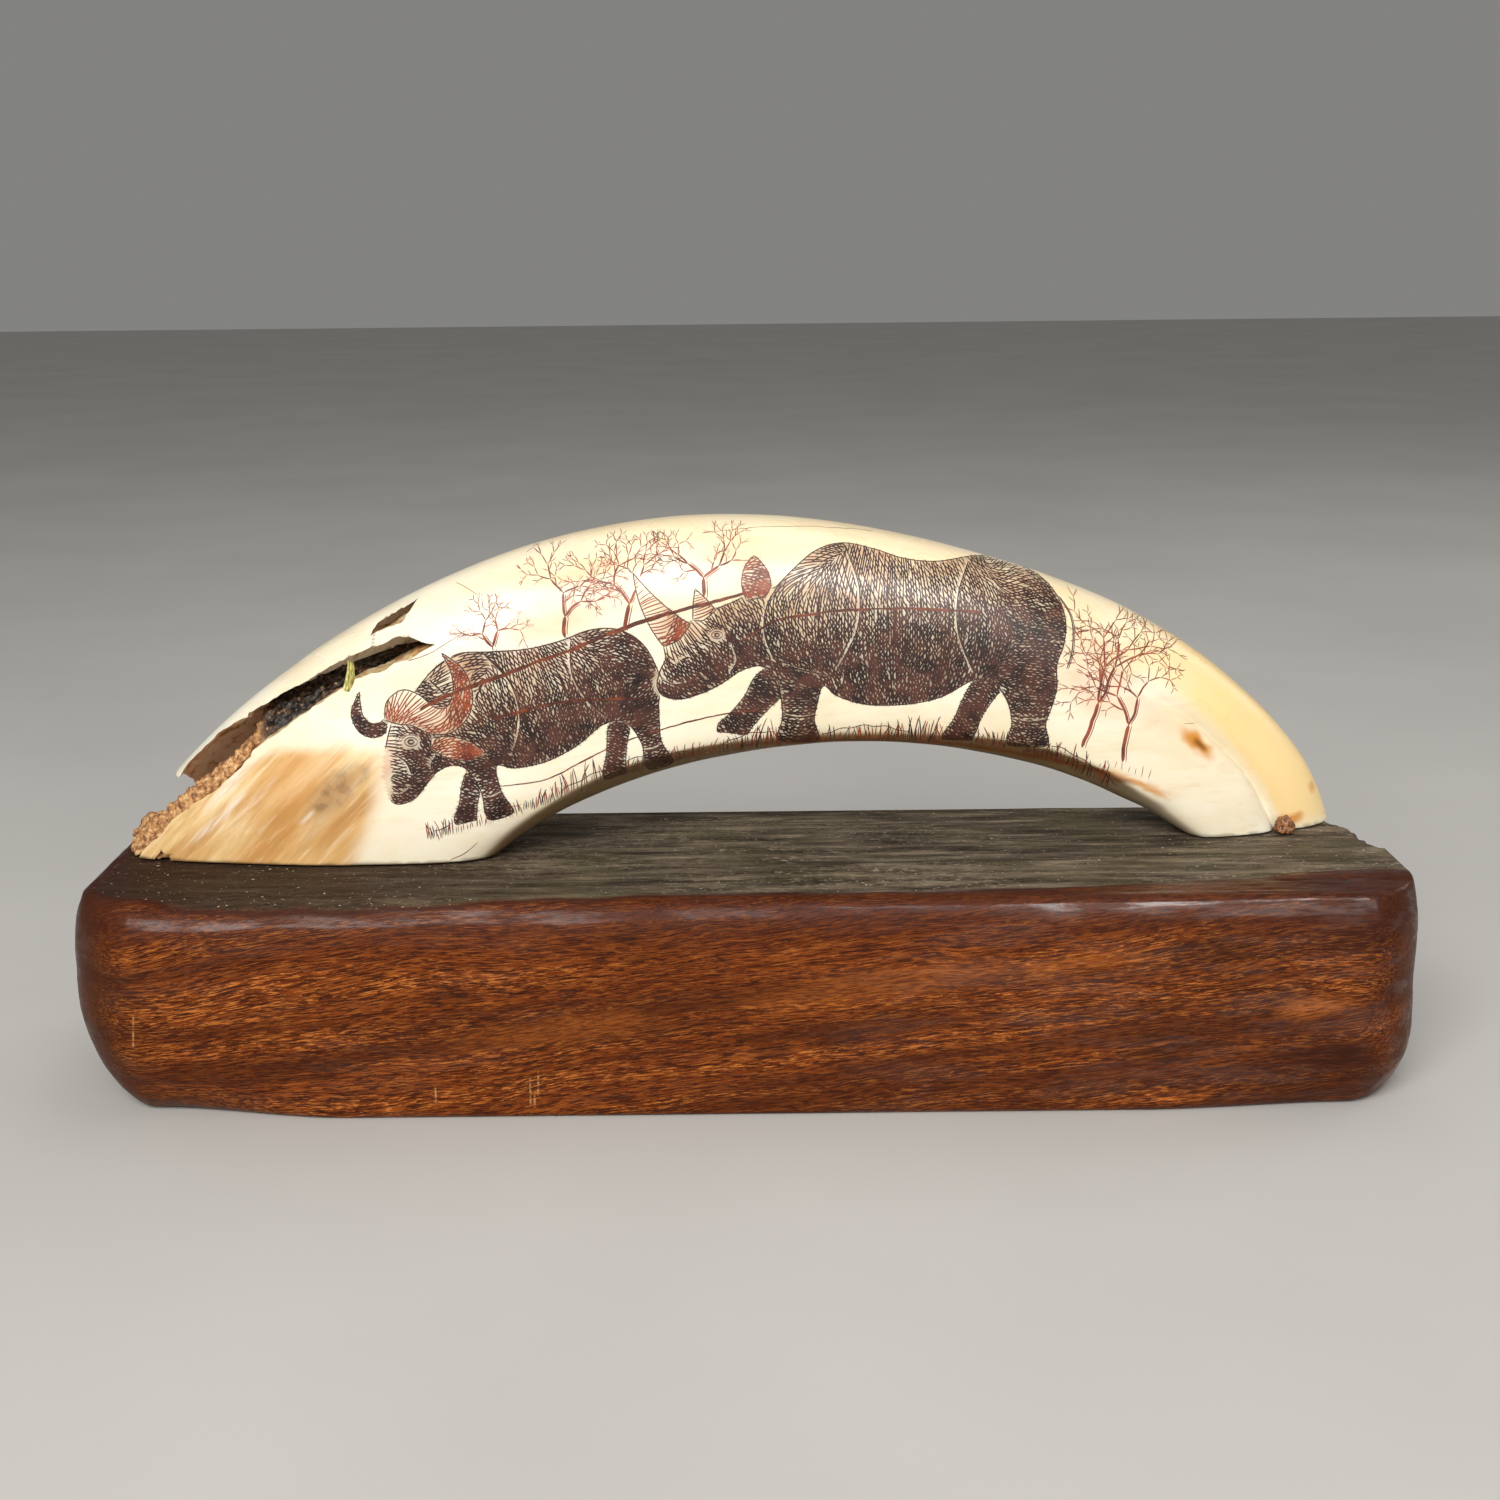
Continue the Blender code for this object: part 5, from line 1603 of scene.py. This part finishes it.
BACK_CRACKS = [
    ([(-62.0, 20.0), (-44.0, 31.0), (-22.0, 39.5), (2.0, 42.8), (24.0, 41.2)], 0.20),
    ([(-70.0, 10.0), (-55.0, 18.0), (-40.0, 25.0)], 0.16),
    ([(10.0, 33.0), (32.0, 32.0), (50.0, 27.5), (62.0, 21.0)], 0.15),
    ([(-30.0, 47.0), (-12.0, 50.6), (6.0, 50.8)], 0.12),
    ([(56.0, 34.0), (70.0, 25.5), (80.0, 17.0)], 0.14),
]


def crack_strokes(cracks, rng):
    """Cracks that wander a little and vary in width, as short overlapping strokes."""
    strokes = []
    for line, wide in cracks:
        path = spline(line, False, 0.5)
        wander = np.cumsum([rng.uniform(-0.06, 0.06) for _ in path])
        wander -= np.linspace(wander[0], wander[-1], len(path))
        path[:, 1] += wander
        for start in range(0, len(path) - 3, 5):
            part = path[start:start + 8]
            strokes.append((part, 0.8, 1.0, wide * rng.uniform(0.6, 1.2)))
    return strokes


# ---------------------------------------------------------------- everything put together

tusk, tusk_form = make_tusk(ivory_material())
sheet, strokes = draw_everything(random.Random(3))
colour_tusk(tusk.data, tusk_form, sheet)
surface = Surface(tusk, tusk_form)
sepia_ink = ink_material("sepia_ink", (36, 20, 18), (84, 48, 38), 0.38)
red_ink = ink_material("red_brown_ink", (104, 42, 26), (158, 78, 48), 0.4)
stain = ink_material("crack_stain", (78, 36, 22), (132, 66, 38), 0.45)
sepia = [stroke for stroke in strokes if stroke[2] < 0.5]
red = [stroke for stroke in strokes if stroke[2] >= 0.5]
half = len(sepia) // 2
inks = [lay_strokes("ink_sepia_a", sepia[:half], surface, sepia_ink, patch_edge),
        lay_strokes("ink_sepia_b", sepia[half:], surface, sepia_ink, patch_edge),
        lay_strokes("ink_red_brown", red, surface, red_ink, patch_edge),
        lay_strokes("stained_cracks", crack_strokes(CRACKS, random.Random(5)), surface, stain),
        lay_strokes("back_cracks", crack_strokes(BACK_CRACKS, random.Random(6)), surface, stain, back=True)]
block = make_block(wood_material())
filler = make_filler(filling_material())
glue = crumbled("glue_crumb", "groove_glue", glue_material(), **GLUE)[0]
stem = make_stem(stem_material())
for piece in (tusk, block, filler, glue, stem, *inks):
    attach(piece, "root")
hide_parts("tusk")
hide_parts("block")
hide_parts("root_filling")
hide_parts("groove_glue")
bpy.data.meshes.remove(tusk_form)

# ---------------------------------------------------------------- floor, light and camera, in metres

FLOOR_REACH = 3
SKY, SKY_STRENGTH = (0.95, 0.94, 0.91, 1), 0.24
# name: (place, what it points at, (width, height), watts, colour)
LIGHTS = {
    "window": ((-0.22, -0.72, 0.62), (0, 0, 0.05), (0.6, 0.4), 8.6, (1.0, 0.98, 0.95)),
    "second_window": ((0.34, -0.72, 0.62), (0.05, 0, 0.04), (0.36, 0.34), 6.5, (1.0, 0.98, 0.96)),
    "fill": ((0.42, -0.78, 0.24), (0.03, 0, 0.04), (0.5, 0.4), 1.8, (1.0, 0.97, 0.93)),
    "skylight": ((0.16, 0.06, 0.75), (0.05, 0, 0.03), (0.8, 0.3), 1.0, (0.98, 0.98, 1.0)),
    "room": ((0.75, 0.35, 0.45), (0, 0, 0.04), (0.4, 0.4), 0.9, (1.0, 0.97, 0.93)),
}
GLOSS_ONLY = "second_window"  # it shows in the polish and lights nothing else
CAMERA_PLACE = (0.0009, -0.3019, 0.1345)
CAMERA_LENS, CAMERA_FILM, CAMERA_NEAREST = 45.6, 36.0, 0.01
CAMERA_PITCH, CAMERA_ROLL = math.radians(14.97), math.radians(0.6)

floor_mesh = bpy.data.meshes.new("floor")
corners = [(x * FLOOR_REACH, y * FLOOR_REACH, 0) for x, y in ((-1, -1), (1, -1), (1, 1), (-1, 1))]
floor_mesh.from_pydata(corners, [], [(0, 1, 2, 3)])
floor = add_piece("floor", floor_mesh, floor_material())

world = bpy.data.worlds.new("studio")
world.use_nodes = True
world.node_tree.nodes["Background"].inputs["Color"].default_value = SKY
world.node_tree.nodes["Background"].inputs["Strength"].default_value = SKY_STRENGTH
bpy.context.scene.world = world

for name, (place, target, size, watts, tint) in LIGHTS.items():
    light = bpy.data.lights.new(name, "AREA")
    light.shape = "RECTANGLE"
    light.size, light.size_y = size
    light.energy = watts
    light.color = tint
    lamp = bpy.data.objects.new(name, light)
    lamp.location = place
    lamp.rotation_euler = (Vector(target) - Vector(place)).to_track_quat("-Z", "Y").to_euler()
    lamp.visible_diffuse = name != GLOSS_ONLY
    bpy.context.scene.collection.objects.link(lamp)

camera_data = bpy.data.cameras.new("camera")
camera_data.sensor_width = CAMERA_FILM
camera_data.lens = CAMERA_LENS
camera_data.clip_start = CAMERA_NEAREST
camera = bpy.data.objects.new("camera", camera_data)
back = Vector((0, -math.cos(CAMERA_PITCH), math.sin(CAMERA_PITCH)))
right = Vector((1, 0, 0))
up = back.cross(right)
cos, sin = math.cos(CAMERA_ROLL), math.sin(CAMERA_ROLL)
right, up = right * cos - up * sin, right * sin + up * cos
camera.matrix_world = Matrix.Translation(CAMERA_PLACE) @ Matrix((right, up, back)).transposed().to_4x4()
bpy.context.scene.collection.objects.link(camera)
bpy.context.scene.camera = camera
bpy.context.scene.view_settings.view_transform = "Standard"
